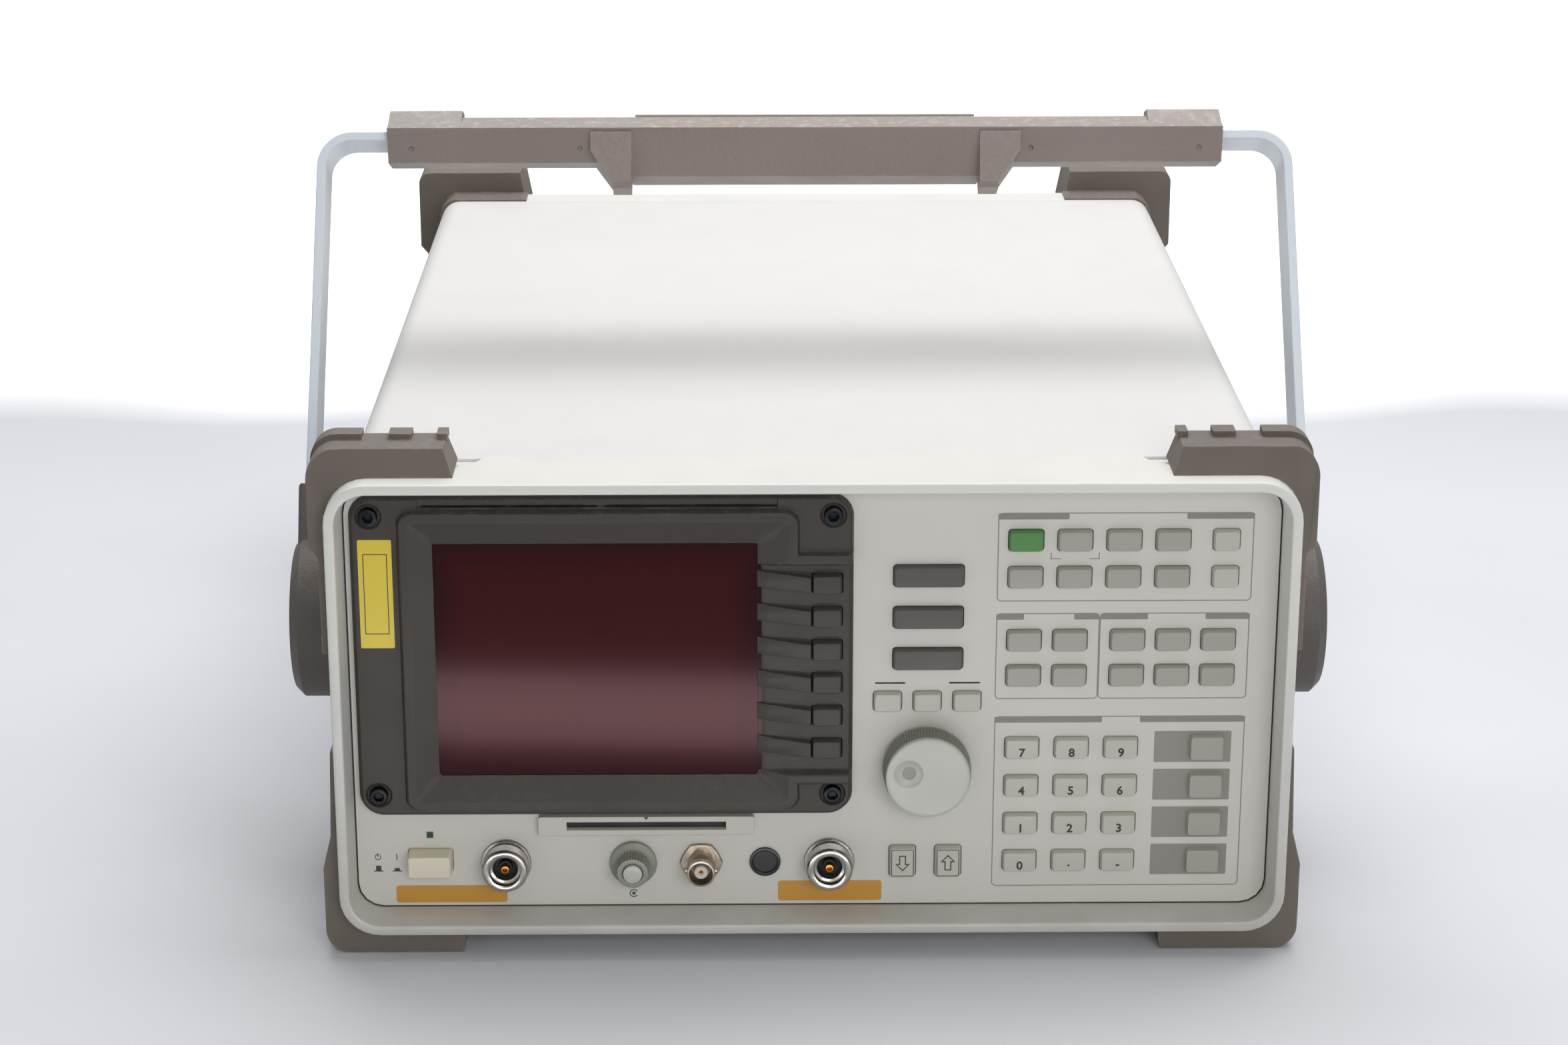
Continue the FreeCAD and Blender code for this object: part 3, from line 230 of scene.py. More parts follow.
def build_finish_group():
    """Moulded or painted surface: clouded colour, rubbed edges, settled dust, painted shade that darkens the
    lower parts, and a fine grain.

    Cellular runs from 0, a soft orange peel, to 1, hard pebbles like leather."""
    n, given, out = new_group(
        "moulded_finish", ("Colour", "Cloud colour", "Worn colour"),
        ("Cloud", "Wear", "Edge width", "Dust", "Low shade", "Grain scale", "Grain height", "Cellular",
         "Roughness"))
    dust_colour, grime_colour = (0.7, 0.68, 0.64, 1), rgb(118, 112, 98)
    where = n.place()
    cloud = n.remap(n.noise(where, 14.0, 4.0), 0.35, 0.68)
    colour = n.mix_colour(n.times(cloud, given["Cloud"]), given["Colour"], given["Cloud colour"])
    bevel = n.add("ShaderNodeBevel", samples=4)
    n.link(given["Edge width"], bevel.inputs["Radius"])
    geometry = n.add("ShaderNodeNewGeometry")
    dot = n.add("ShaderNodeVectorMath", operation="DOT_PRODUCT")
    n.link(bevel.outputs[0], dot.inputs[0])
    n.link(geometry.outputs["Normal"], dot.inputs[1])
    edge = n.remap(dot.outputs["Value"], 0.985, 0.86)
    rubbed = n.remap(n.noise(where, 95.0, 5.0, 0.65), 0.46, 0.62)
    worn = n.times(n.times(edge, rubbed), given["Wear"], clamp=True)
    colour = n.mix_colour(worn, colour, given["Worn colour"])
    upward = n.axis(geometry.outputs["Normal"], "Z")
    settled = n.times(n.remap(upward, 0.2, 1.0), given["Dust"], clamp=True)
    speckle = n.remap(n.noise(where, 260.0, 6.0, 0.7), 0.5, 0.75, 0.15, 1.0)
    colour = n.mix_colour(n.times(settled, speckle), colour, dust_colour)
    # Painted shade: the colour darkens towards the bottom, from 0.15 m down to 0.01 m above the floor, broken
    # by noise, as strongly as each material asks.
    low_down = n.remap(n.axis(where, "Z"), 0.15, 0.01)
    grime = n.times(n.times(low_down, given["Low shade"]),
                    n.remap(n.noise(where, 34.0, 5.0, 0.6), 0.25, 0.6, 0.7, 1.0), clamp=True)
    colour = n.mix_colour(grime, colour, grime_colour)
    n.link(colour, out["Colour"])
    shine = n.remap(n.noise(where, 60.0, 3.0), 0.3, 0.7, -0.06, 0.06)
    n.link(n.math("ADD", given["Roughness"], shine, clamp=True), out["Roughness"])
    cells = n.add("ShaderNodeTexVoronoi", feature="SMOOTH_F1")
    n.link(where, cells.inputs["Vector"])
    n.link(given["Grain scale"], cells.inputs["Scale"])
    peel = n.noise(where, given["Grain scale"], 2.0)
    grain = n.mix_value(given["Cellular"], peel, n.math("SUBTRACT", 1.0, cells.outputs["Distance"]))
    n.link(n.bumped(grain, given["Grain height"]), out["Normal"])
    return n.tree


def build_metal_group():
    """Machined metal: streaks along one axis, tarnish in clouds, and fine turning marks."""
    n, given, out = new_group("machined_finish", ("Colour", "Tarnish"), ("Amount", "Roughness"))
    stretched, mark_height = (300.0, 3000.0, 300.0), 0.00001
    where = n.place()
    stretch = n.add("ShaderNodeVectorMath", operation="MULTIPLY")
    n.link(where, stretch.inputs[0])
    n.feed(stretch.inputs[1], stretched)
    streak = n.noise(stretch.outputs[0], 1.0, 3.0)
    cloud = n.remap(n.noise(where, 160.0, 4.0, 0.6), 0.42, 0.7)
    mask = n.times(cloud, given["Amount"], clamp=True)
    n.link(n.mix_colour(mask, given["Colour"], given["Tarnish"]), out["Colour"])
    rough = n.remap(streak, 0.25, 0.75, -0.1, 0.12)
    rough = n.math("ADD", given["Roughness"], rough)
    rough = n.math("ADD", rough, n.times(mask, 0.25), clamp=True)
    n.link(rough, out["Roughness"])
    n.link(n.bumped(streak, mark_height), out["Normal"])
    return n.tree


def principled(name):
    """New material, the nodes of its tree, and its shader."""
    material = bpy.data.materials.new(name)
    material.use_nodes = True
    return material, Nodes(material.node_tree), material.node_tree.nodes["Principled BSDF"]


def group_material(name, group, values, shader_values):
    """Principled material whose colour, roughness and normal come from a shared group."""
    material, n, shader = principled(name)
    finish = n.add("ShaderNodeGroup", node_tree=group)
    for label, value in values.items():
        finish.inputs[label].default_value = value
    for source, target in (("Colour", "Base Color"), ("Roughness", "Roughness"), ("Normal", "Normal")):
        n.link(finish.outputs[source], shader.inputs[target])
    for label, value in shader_values.items():
        shader.inputs[label].default_value = value
    return material


MOULDED = build_finish_group()
MACHINED = build_metal_group()


def scaled(colour, factor):
    """Colour with each level multiplied, up to white."""
    return tuple(min(1.0, c * factor) for c in colour[:3]) + (1.0,)


def moulded(name, colour, roughness, grain_scale, grain_height, cellular=0.0, cloud=0.5,
            clouded=0.88, wear=0.3, worn=None, dust=0.0, grime=0.0, edge=0.0006, specular=0.5):
    """Plastic, rubber or paint from the shared finish."""
    values = {"Colour": colour, "Cloud colour": scaled(colour, clouded),
              "Worn colour": worn or scaled(colour, 1.35), "Cloud": cloud, "Wear": wear,
              "Edge width": edge, "Dust": dust, "Low shade": grime, "Grain scale": grain_scale,
              "Grain height": grain_height, "Cellular": cellular, "Roughness": roughness}
    return group_material(name, MOULDED, values, {"Specular IOR Level": specular})


def machined(name, colour, roughness, tarnish, amount):
    """Bare or plated metal from the shared finish."""
    values = {"Colour": colour, "Tarnish": tarnish, "Amount": amount, "Roughness": roughness}
    return group_material(name, MACHINED, values, {"Metallic": 1.0})


def make_materials():
    """Every finish of the instrument, by name."""
    m = {}

    def paint(name, *finish, **more):
        m[name] = moulded(name, *finish, **more)

    def metal(name, *finish):
        m[name] = machined(name, *finish)

    # The setting that darkens the lower parts paints shade there: strongest on the frame, slight on the panel
    # and bumpers.
    paint("frame_paint", rgb(231, 230, 224), 0.42, 1100.0, 0.00004, grime=0.42, worn=rgb(112, 106, 96),
          wear=0.6, dust=0.05, clouded=0.95)
    paint("case_paint", rgb(226, 225, 223), 0.5, 900.0, 0.00012, cellular=0.25, worn=rgb(150, 146, 138),
          dust=0.04, clouded=0.97)
    paint("panel_paint", rgb(216, 213, 205), 0.5, 1400.0, 0.000015, wear=0.1, grime=0.03, clouded=0.97)
    paint("bezel_plastic", rgb(70, 65, 61), 0.46, 2200.0, 0.00003, clouded=0.88, worn=rgb(150, 144, 136),
          wear=0.5, dust=0.1, edge=0.0005, specular=0.22)
    paint("bumper_rubber", rgb(119, 110, 102), 0.6, 1500.0, 0.00004, cloud=0.7, grime=0.2, clouded=0.8,
          worn=rgb(170, 160, 151), wear=0.5, dust=0.12, edge=0.0012, specular=0.3)
    paint("grip_plastic", rgb(149, 137, 130), 0.5, 620.0, 0.00018, cellular=1.0, cloud=0.6, clouded=0.8,
          worn=rgb(182, 172, 165), wear=0.6, dust=0.5, edge=0.0012)
    paint("cap_plastic", rgb(98, 92, 88), 0.55, 900.0, 0.00024, cellular=0.7, cloud=0.4, clouded=0.86,
          worn=rgb(152, 147, 141), dust=0.1, edge=0.001, specular=0.3)
    paint("strap_paint", rgb(224, 232, 240), 0.34, 700.0, 0.00006, worn=rgb(120, 124, 128), wear=0.6,
          clouded=0.93, edge=0.0007)
    for name, colour, roughness, grain, height, wear, clouded in (
            ("key_mid", (170, 167, 157), 0.45, 2600.0, 0.000012, 0.15, 0.95),
            ("key_light", (196, 193, 182), 0.45, 2600.0, 0.000012, 0.15, 0.95),
            ("key_green", (78, 136, 68), 0.42, 2600.0, 0.000012, 0.15, 0.92),
            ("key_ivory", (226, 218, 194), 0.4, 2600.0, 0.000012, 0.2, 0.95),
            ("knob_plastic", (192, 193, 184), 0.42, 2400.0, 0.000012, 0.1, 0.95),
            ("skirt_plastic", (142, 142, 132), 0.45, 2400.0, 0.000012, 0.1, 0.88),
            ("slot_plastic", (206, 202, 190), 0.5, 2000.0, 0.00002, 0.1, 0.95),
            ("socket_black", (26, 26, 27), 0.35, 2400.0, 0.00001, 0.2, 0.88),
            ("fan_plastic", (34, 33, 32), 0.5, 1500.0, 0.00003, 0.3, 0.88),
            ("mat_silicone", (190, 190, 186), 0.6, 900.0, 0.00004, 0.3, 0.88),
            ("board_laminate", (34, 92, 52), 0.4, 1200.0, 0.00003, 0.3, 0.88),
            ("lamp_lens", (40, 62, 40), 0.2, 900.0, 0.00001, 0.3, 0.88),
            ("dark_hollow", (18, 17, 16), 0.7, 900.0, 0.00002, 0.0, 0.88),
            ("insulator", (214, 208, 196), 0.4, 2000.0, 0.00001, 0.0, 0.88),
            ("tube_glass", (60, 62, 60), 0.12, 300.0, 0.000002, 0.0, 0.88)):
        paint(name, rgb(*colour), roughness, grain, height, wear=wear, clouded=clouded)
    for name, colour, roughness, grain, height, cloud in (
            ("ink", (46, 45, 43), 0.6, 3000.0, 0.000005, 0.3),
            ("line_ink", (140, 138, 131), 0.6, 3000.0, 0.000005, 0.3),
            ("patch_ink", (148, 145, 136), 0.55, 3000.0, 0.000005, 0.3),
            ("amber_ink", (206, 146, 32), 0.5, 3000.0, 0.000005, 0.4),
            ("yellow_label", (233, 207, 52), 0.38, 1500.0, 0.00001, 0.4)):
        paint(name, rgb(*colour), roughness, grain, height, cloud=cloud, wear=0.0)
    paint("key_dark", rgb(90, 86, 82), 0.42, 2600.0, 0.000012, wear=0.35, clouded=0.92, specular=0.3)
    dull = rgb(120, 108, 92)
    metal("connector_steel", rgb(168, 165, 160), 0.22, dull, 0.4)
    metal("connector_nickel", rgb(168, 156, 143), 0.24, dull, 0.6)
    metal("contact_gold", rgb(206, 150, 72), 0.3, rgb(120, 80, 40), 0.4)
    metal("screw_steel", rgb(44, 45, 48), 0.38, rgb(24, 24, 25), 0.5)
    metal("zinc_steel", rgb(190, 190, 186), 0.38, rgb(140, 138, 130), 0.4)
    metal("module_metal", rgb(196, 196, 196), 0.45, rgb(150, 150, 150), 0.3)
    m["filter_glass"] = screen_material()
    return m


def screen_material():
    """Tinted filter over a dark tube: deep red, darker towards its rim, with a soft gloss."""
    material = moulded("filter_glass", rgb(62, 18, 21), 0.2, 300.0, 0.0, cloud=0.6, clouded=0.86, wear=0.0,
                       specular=0.16)
    n = Nodes(material.node_tree)
    shader = material.node_tree.nodes["Principled BSDF"]
    tint = shader.inputs["Base Color"].links[0].from_socket
    shader.inputs["Specular Tint"].default_value = (1.0, 0.62, 0.66, 1.0)
    for plain in ("Roughness", "Normal"):
        material.node_tree.links.remove(shader.inputs[plain].links[0])
    shader.inputs["Roughness"].default_value = 0.13
    rim = n.add("ShaderNodeAttribute", attribute_name="rim_distance")
    shade = n.remap(rim.outputs["Fac"], 0.0, 0.011, 0.32, 1.0)
    shade = n.math("POWER", shade, 0.8)
    n.link(n.mix_colour(shade, rgb(16, 10, 14), tint), shader.inputs["Base Color"])
    return material


# ---- mesh building ----

def finish_object(name, mesh, material, body="instrument", stands_for=()):
    """Object with its finish, riding its body, in place of the CAD nodes it stands for."""
    item = into_scene(name, mesh)
    mesh.materials.clear()
    mesh.materials.append(MATERIALS[material])
    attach(item, body)
    if stands_for:
        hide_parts(*stands_for)
    return item


def reworked(mesh, change):
    """Open the mesh for editing, make the change and write it back."""
    work = bmesh.new()
    work.from_mesh(mesh)
    change(work)
    work.to_mesh(mesh)
    work.free()


def mesh_from(name, points, faces, closed=True, angle=SHARP):
    """Mesh in metres from millimetre points; a closed one gets its normals turned outwards."""
    mesh = bpy.data.meshes.new(name)
    mesh.from_pydata((np.asarray(points, float) * MM + ORIGIN).tolist(), [], [list(f) for f in faces])
    if closed:
        reworked(mesh, lambda work: bmesh.ops.recalc_face_normals(work, faces=work.faces))
    mesh.shade_smooth()
    mesh.set_sharp_from_angle(angle=angle)
    return mesh


def placed(name, geometry, material, body="instrument", stands_for=()):
    """Closed piece from its (points, faces), with its finish, its body and the nodes it stands for."""
    return finish_object(name, mesh_from(name, *geometry), material, body, stands_for)


def grid_faces(rows, columns, wrap_rows=False, wrap_columns=False):
    """Quads between neighbours of a rows-by-columns grid of points."""
    r = np.arange(rows if wrap_rows else rows - 1)
    c = np.arange(columns if wrap_columns else columns - 1)
    r, c = np.meshgrid(r, c, indexing="ij")
    r2, c2 = (r + 1) % rows, (c + 1) % columns
    quads = np.stack([r * columns + c, r * columns + c2, r2 * columns + c2, r2 * columns + c], -1)
    return quads.reshape(-1, 4).tolist()


def ring_stack(rings, closed_loop=False):
    """Closed shell through rings of points: sides between rings, and flat ends unless it loops."""
    rings = np.asarray(rings, float)
    count, around = rings.shape[:2]
    faces = grid_faces(count, around, wrap_rows=closed_loop, wrap_columns=True)
    if not closed_loop:
        faces += [list(range(around)), list(range((count - 1) * around, count * around))]
    return rings.reshape(-1, 3), faces


def rounded_ring(cx, cz, width, height, radius, y, steps=8):
    """Points round a rectangle with round corners: corner centre plus radius times a turning arm."""
    turn = np.linspace(0, math.pi / 2, steps)
    angles = np.concatenate([turn + k * math.pi / 2 for k in range(4)])
    sx = np.repeat([1, -1, -1, 1], steps)
    sz = np.repeat([1, 1, -1, -1], steps)
    x = cx + sx * (width / 2 - radius) + radius * np.cos(angles)
    z = cz + sz * (height / 2 - radius) + radius * np.sin(angles)
    return np.stack([x, np.full_like(x, y), z], -1)


def eased(profile, radius, steps=4):
    """Closed outline whose corners become quadratic curves that start a radius from each corner."""
    points = np.asarray(profile, float)
    before, after = np.roll(points, 1, 0) - points, np.roll(points, -1, 0) - points
    reach_b, reach_a = np.linalg.norm(before, axis=1), np.linalg.norm(after, axis=1)
    start = points + before * (np.minimum(radius, reach_b * 0.45) / reach_b)[:, None]
    end = points + after * (np.minimum(radius, reach_a * 0.45) / reach_a)[:, None]
    t = np.linspace(0, 1, steps)[None, :, None]
    curve = start[:, None] * (1 - t) ** 2 + points[:, None] * 2 * t * (1 - t) + end[:, None] * t ** 2
    return curve.reshape(-1, 2)


def swept_rim(profile, width, height, radius, cz):
    """Profile of (inset, y) points carried round a rounded rectangle, as a closed loop."""
    rings = [rounded_ring(0.0, cz, width - 2 * inset, height - 2 * inset, max(radius - inset, 0.6), y)
             for inset, y in profile]
    return ring_stack(rings, closed_loop=True)


def turned(cx, cz, profile, steps=96, ripple=None):
    """Profile of (radius, y) points spun about a fore-and-aft axis, closed by a pole at each end.

    ripple(angle, radius, y) is added to the radius, for knurls and flutes."""
    profile = np.asarray(profile, float)
    angle = circle(steps)
    radius = np.repeat(profile[:, :1], steps, 1)
    y = np.repeat(profile[:, 1:], steps, 1)
    if ripple is not None:
        radius = radius + ripple(angle[None, :], radius, y)
    points = np.stack([cx + radius * np.cos(angle), y, cz + radius * np.sin(angle)], -1)
    return ring_stack(points)


def joined(*parts):
    """Several (points, faces) as one."""
    points, faces, start = [], [], 0
    for part_points, part_faces in parts:
        points.append(np.asarray(part_points, float))
        faces += [[i + start for i in face] for face in part_faces]
        start += len(part_points)
    return np.concatenate(points), faces


def merged_copy(node, name, dissolve=True):
    """Copy of a CAD node's mesh with its loose triangles merged and its flat faces made whole."""
    work = bmesh.new()
    work.from_mesh(nodes[node].data)
    bmesh.ops.remove_doubles(work, verts=work.verts, dist=2e-6)
    if dissolve:
        bmesh.ops.dissolve_limit(work, angle_limit=math.radians(0.5), verts=work.verts, edges=work.edges)
    mesh = bpy.data.meshes.new(name)
    work.to_mesh(mesh)
    work.free()
    return mesh


def dressed(node, name, material, body="instrument", bevel=0.0, shape=None):
    """Stand-in for a CAD node: its merged mesh, reshaped if asked, with its edges rounded."""
    mesh = merged_copy(node, name, dissolve=bevel > 0)
    if shape is not None:
        points = np.empty(len(mesh.vertices) * 3)
        mesh.vertices.foreach_get("co", points)
        points = (points.reshape(-1, 3) - ORIGIN) / MM
        points = shape(points) * MM + ORIGIN
        mesh.vertices.foreach_set("co", points.ravel())
        mesh.update()
    mesh.shade_smooth()
    mesh.set_sharp_from_angle(angle=SHARP)
    item = finish_object(name, mesh, material, body, (node,))
    if bevel > 0:
        rounding = item.modifiers.new("rounding", "BEVEL")
        rounding.width, rounding.segments = bevel * MM, 3
        rounding.limit_method, rounding.angle_limit = "ANGLE", math.radians(35)
        rounding.harden_normals = True
    return item


# ---- front frame and case ----

def make_front_frame():
    """Lip, drafted inner wall and outer wall as one rounded profile carried round the opening."""
    depth = 32.5
    profile = eased([(0.0, 0.4), (0.5, 0.0), (3.6, 0.0), (4.9, 13.5), (4.9, 19.5), (6.5, 19.5), (6.5, depth),
                     (0.0, depth)], 0.9)
    rim = mesh_from("front_frame_body", *swept_rim(profile, FRAME_WIDTH, FRAME_HEIGHT, 14.0, MID_Z))
    item = finish_object("front_frame_body", rim, "frame_paint", stands_for=("front_frame",))
    pockets = []
    pocket_x, pocket_y, pocket_radius, pocket_levels = 126.5, 34.3, 15.5, (161.0, 166.0)
    for side in (-1, 1):
        theta = circle(64)
        ring = [np.stack([side * pocket_x + pocket_radius * np.cos(theta),
                          pocket_y + pocket_radius * np.sin(theta), np.full(64, z)], -1)
                for z in pocket_levels]
        pockets.append(ring_stack(ring))
    cutter = into_scene("cutter", mesh_from("cutter", *joined(*pockets)))
    cut = item.modifiers.new("pockets", "BOOLEAN")
    cut.operation, cut.object, cut.solver = "DIFFERENCE", cutter, "EXACT"
    bpy.context.view_layer.update()
    depsgraph = bpy.context.evaluated_depsgraph_get()
    mesh = bpy.data.meshes.new_from_object(item.evaluated_get(depsgraph))
    item.modifiers.clear()
    item.data = mesh
    mesh.set_sharp_from_angle(angle=SHARP)
    bpy.data.objects.remove(cutter)


def make_case():
    """Folded cover: a thin wall round a rectangle, with a rolled edge at the front and the rear."""
    low, high = extent("case_cover")
    width, height = high[0] - low[0], high[2] - low[2]
    wall = 1.6
    profile = eased([(0.0, low[1] + 0.3), (0.6, low[1] - 0.1), (wall, low[1] - 0.1), (wall, high[1]),
                     (0.0, high[1])], 0.5, 3)
    stations = np.linspace(low[1] + 6, high[1] - 6, 12)
    outer = [(0.0, y) for y in stations[::-1]]
    profile = np.concatenate([profile, outer])
    cover = mesh_from("case_cover_shell", *swept_rim(profile, width, height, 8.0, (low[2] + high[2]) / 2))
    finish_object("case_cover_shell", cover, "case_paint", stands_for=("case_cover",))
    screws = [side_screw(sign * high[0], y, z, sign) for sign in (-1, 1)
              for y in (52.0, 398.0) for z in (20.0, 142.0)]
    placed("case_screws", joined(*screws), "zinc_steel")


def side_screw(x, y, z, sign):
    """Low domed screw head on the case side: height falls with the square of the radius."""
    radius = np.array([3.2, 3.2, 2.6, 1.7, 1.2, 1.0])
    height = np.array([-0.2, 0.5, 1.0, 1.25, 1.25, 0.5])
    theta = circle(24)
    ring = [np.stack([np.full(24, x + sign * h), y + r * np.cos(theta), z + r * np.sin(theta)], -1)
            for r, h in zip(radius, height)]
    return ring_stack(ring)


# ---- display ----

SCREEN = (-73.15, 96.95, 109.1, 83.9)
HOOD = (-71.85, 96.95, 132.9, 106.7, 3.0)
HOOD_FRONT, BEZEL_FRONT, FLOOR_Y = 7.5, 10.0, 10.9
LAND = 2.75
KEY_ZONE = (55.7, 132.5)
SOFTKEYS = [124.65 - 11.94 * i for i in range(6)]
SOFTKEY_X, SOFTKEY_HALF = 4.75, (5.3, 3.7)
SCREEN_CORNER = 1.5
SLITS, SLIT_Z = ((-131.0, -103.4), (-100.7, -72.9), (-70.0, -42.5), (-39.8, -12.4)), 152.2
SCREWS = [(-148.6, 48.2), (-148.6, 148.9), (6.8, 48.2), (6.8, 148.9)]


def box_distance(x, z, cx, cz, width, height, radius):
    """Signed distance to a rounded rectangle, negative inside."""
    dx = np.abs(x - cx) - width / 2 + radius
    dz = np.abs(z - cz) - height / 2 + radius
    outside = np.hypot(np.maximum(dx, 0), np.maximum(dz, 0))
    return outside + np.minimum(np.maximum(dx, dz), 0) - radius


def ramp(value, width):
    """Smooth step from 0 to 1 over the given width: three t squared less two t cubed."""
    t = np.clip(value / width, 0, 1)
    return t * t * (3 - 2 * t)


def grid_lines(low, high, step, sharp, soft):
    """Grid positions: an even spacing, tight pairs at sharp edges, and fine bands at round ones."""
    near = np.array([-0.16, 0.0, 0.16])
    lines = [np.arange(low, high, step), [low, high]]
    lines += [edge + near for edge in sharp]
    lines += [np.arange(centre - reach, centre + reach, 0.42) for centre, reach in soft]
    every = np.unique(np.round(np.concatenate(lines), 2))
    every = every[(every >= low) & (every <= high)]
    keep = np.concatenate([[True], np.diff(every) > 0.06])
    return every[keep]


def bezel_depth(x, z):
    """How far back the bezel's surface lies at (x, z).

    A raised land, 7.5 back, follows the union of the screen's hood and the softkey zone, which runs
    out to the right edge.  Inside it the hood slopes to the screen's opening in proportion to the
    distances from the two edges, and the softkey zone is a flat floor.  Outside lies the flange."""
    hood = box_distance(x, z, HOOD[0], HOOD[1], HOOD[2] - 2 * LAND, HOOD[3] - 2 * LAND, 1.6)
    opening = box_distance(x, z, *SCREEN, SCREEN_CORNER)
    zone_mid, zone_height = sum(KEY_ZONE) / 2, KEY_ZONE[1] - KEY_ZONE[0]
    zone_x, zone_width, slope_end, softkey_floor, screen_floor = 20.0, 77.2, 11.1, 13.2, 12.6
    zone = box_distance(x, z, zone_x, zone_mid, zone_width, zone_height, 2.0)
    inner = np.minimum(hood, zone)
    across = np.maximum(np.abs(x - SCREEN[0]) - SCREEN[2] / 2, 0)
    upward = np.maximum(np.abs(z - SCREEN[1]) - SCREEN[3] / 2, 0)
    outward = (across ** 5 + upward ** 5) ** 0.2
    share = np.clip(-hood / np.maximum(-hood + outward, 1e-6), 0, 1)
    slope = HOOD_FRONT + (slope_end - HOOD_FRONT) * share
    lane = HOOD_FRONT + (FLOOR_Y - HOOD_FRONT) * ramp(-zone, 1.6)
    inside = np.where(hood < 0, slope, HOOD_FRONT)
    inside = np.maximum(inside, np.where(zone < 0, lane, HOOD_FRONT))
    inside = inside + np.where(zone < 0, ramp(-15.2 - x, 3.2), 0.0)
    flange = HOOD_FRONT + (BEZEL_FRONT - HOOD_FRONT) * ramp(inner - LAND, 1.1)
    depth = np.maximum(inside, flange)
    strip = box_distance(x, z, -72.0, 154.2, 120.6, 6.6, 0.4)
    depth = depth + 0.7 * ramp(-strip, 0.35) * (inner > LAND)
    for low, high in SLITS:
        slit = box_distance(x, z, (low + high) / 2, SLIT_Z, high - low, 1.0, 0.3)
        depth = depth + 2.6 * ramp(-slit, 0.3)
    for sx, sz in SCREWS:
        depth = depth + 0.9 * ramp(4.5 - np.hypot(x - sx, z - sz), 0.5)
    for sz in SOFTKEYS:
        hole = box_distance(x, z, SOFTKEY_X, sz, 2 * SOFTKEY_HALF[0], 2 * SOFTKEY_HALF[1], 1.2)
        depth = depth + (softkey_floor - depth) * ramp(-hole, 0.12)
    return depth + (screen_floor - depth) * ramp(-opening, 0.15)


def make_bezel():
    """The bezel as a sheet of depths on a grid, its outside points drawn in to the round outline."""
    left, right, bottom, top = -154.9, 13.1, 40.7, 155.2
    cx, cz, radius = (left + right) / 2, (bottom + top) / 2, 8.0
    sharp_x = [SCREEN[0] - SCREEN[2] / 2, SCREEN[0] + SCREEN[2] / 2, -132.3, -11.7]
    sharp_x += [SOFTKEY_X + s * SOFTKEY_HALF[0] for s in (-1, 1)]
    sharp_z = [SCREEN[1] - SCREEN[3] / 2, SCREEN[1] + SCREEN[3] / 2, SLIT_Z - 0.5, SLIT_Z + 0.5]
    sharp_z += [z + s * SOFTKEY_HALF[1] for z in SOFTKEYS for s in (-1, 1)]
    soft_x = [(HOOD[0] - HOOD[2] / 2 + 1.5, 3.4), (HOOD[0] + HOOD[2] / 2 - 1.5, 3.4), (SCREWS[0][0], 5.5),
              (SCREWS[2][0], 5.5), (left, 3.0), (right, 3.0)]
    soft_z = [(HOOD[1] - HOOD[3] / 2 + 1.5, 3.4), (HOOD[1] + HOOD[3] / 2 - 1.0, 4.4), (KEY_ZONE[0] - 1, 3.2),
              (KEY_ZONE[1] + 1, 3.2), (SCREWS[0][1], 5.5), (SCREWS[1][1], 5.5), (top, 2.0), (bottom, 2.0)]
    xs = grid_lines(left, right, 1.7, sharp_x, soft_x)
    zs = grid_lines(bottom, top, 1.7, sharp_z, soft_z)
    x, z = np.meshgrid(xs, zs, indexing="ij")
    y = bezel_depth(x, z)
    hx, hz = (right - left) / 2 - radius, (top - bottom) / 2 - radius
    ox, oz = np.maximum(np.abs(x - cx) - hx, 0), np.maximum(np.abs(z - cz) - hz, 0)
    reach = np.hypot(ox, oz)
    pull = np.where(reach > radius, radius / np.maximum(reach, 1e-6), 1.0)
    x = np.where(reach > radius, cx + np.sign(x - cx) * (hx + ox * pull), x)
    z = np.where(reach > radius, cz + np.sign(z - cz) * (hz + oz * pull), z)
    edge = np.maximum(radius - reach, 0)
    y = y + 0.9 * (1 - ramp(edge, 0.9)) ** 2
    points = np.stack([x, y, z], -1)
    rows, columns = x.shape
    faces = np.array(grid_faces(rows, columns))
    centre = points.reshape(-1, 3)[faces].mean(1)
    keep = box_distance(centre[:, 0], centre[:, 2], *SCREEN, SCREEN_CORNER) > -0.5
    lower_edge, right_edge = np.arange(rows) * columns, (rows - 1) * columns + np.arange(1, columns)
    upper_edge, left_edge = np.arange(rows - 1) * columns + columns - 1, np.arange(1, columns - 1)
    border = np.concatenate([lower_edge, right_edge, upper_edge[::-1], left_edge[::-1]])
    skirt = points.reshape(-1, 3)[border].copy()
    skirt[:, 0] += np.sign(skirt[:, 0] - cx) * 0.6
    skirt[:, 2] += np.sign(skirt[:, 2] - cz) * 0.6
    skirt[:, 1] = PANEL_Y
    start, count = rows * columns, len(border)
    around = np.arange(count)
    wall = np.stack([border, start + around, start + (around + 1) % count, np.roll(border, -1)], -1)
    every = np.concatenate([points.reshape(-1, 3), skirt])
    every_face = faces[keep][:, ::-1].tolist() + wall.tolist()
    mesh = mesh_from("bezel_face", every, every_face, closed=False, angle=math.radians(50))
    reworked(mesh, lambda work: bmesh.ops.dissolve_degenerate(work, dist=1e-6, edges=work.edges))
    finish_object("bezel_face", mesh, "bezel_plastic", stands_for=("display_bezel",))


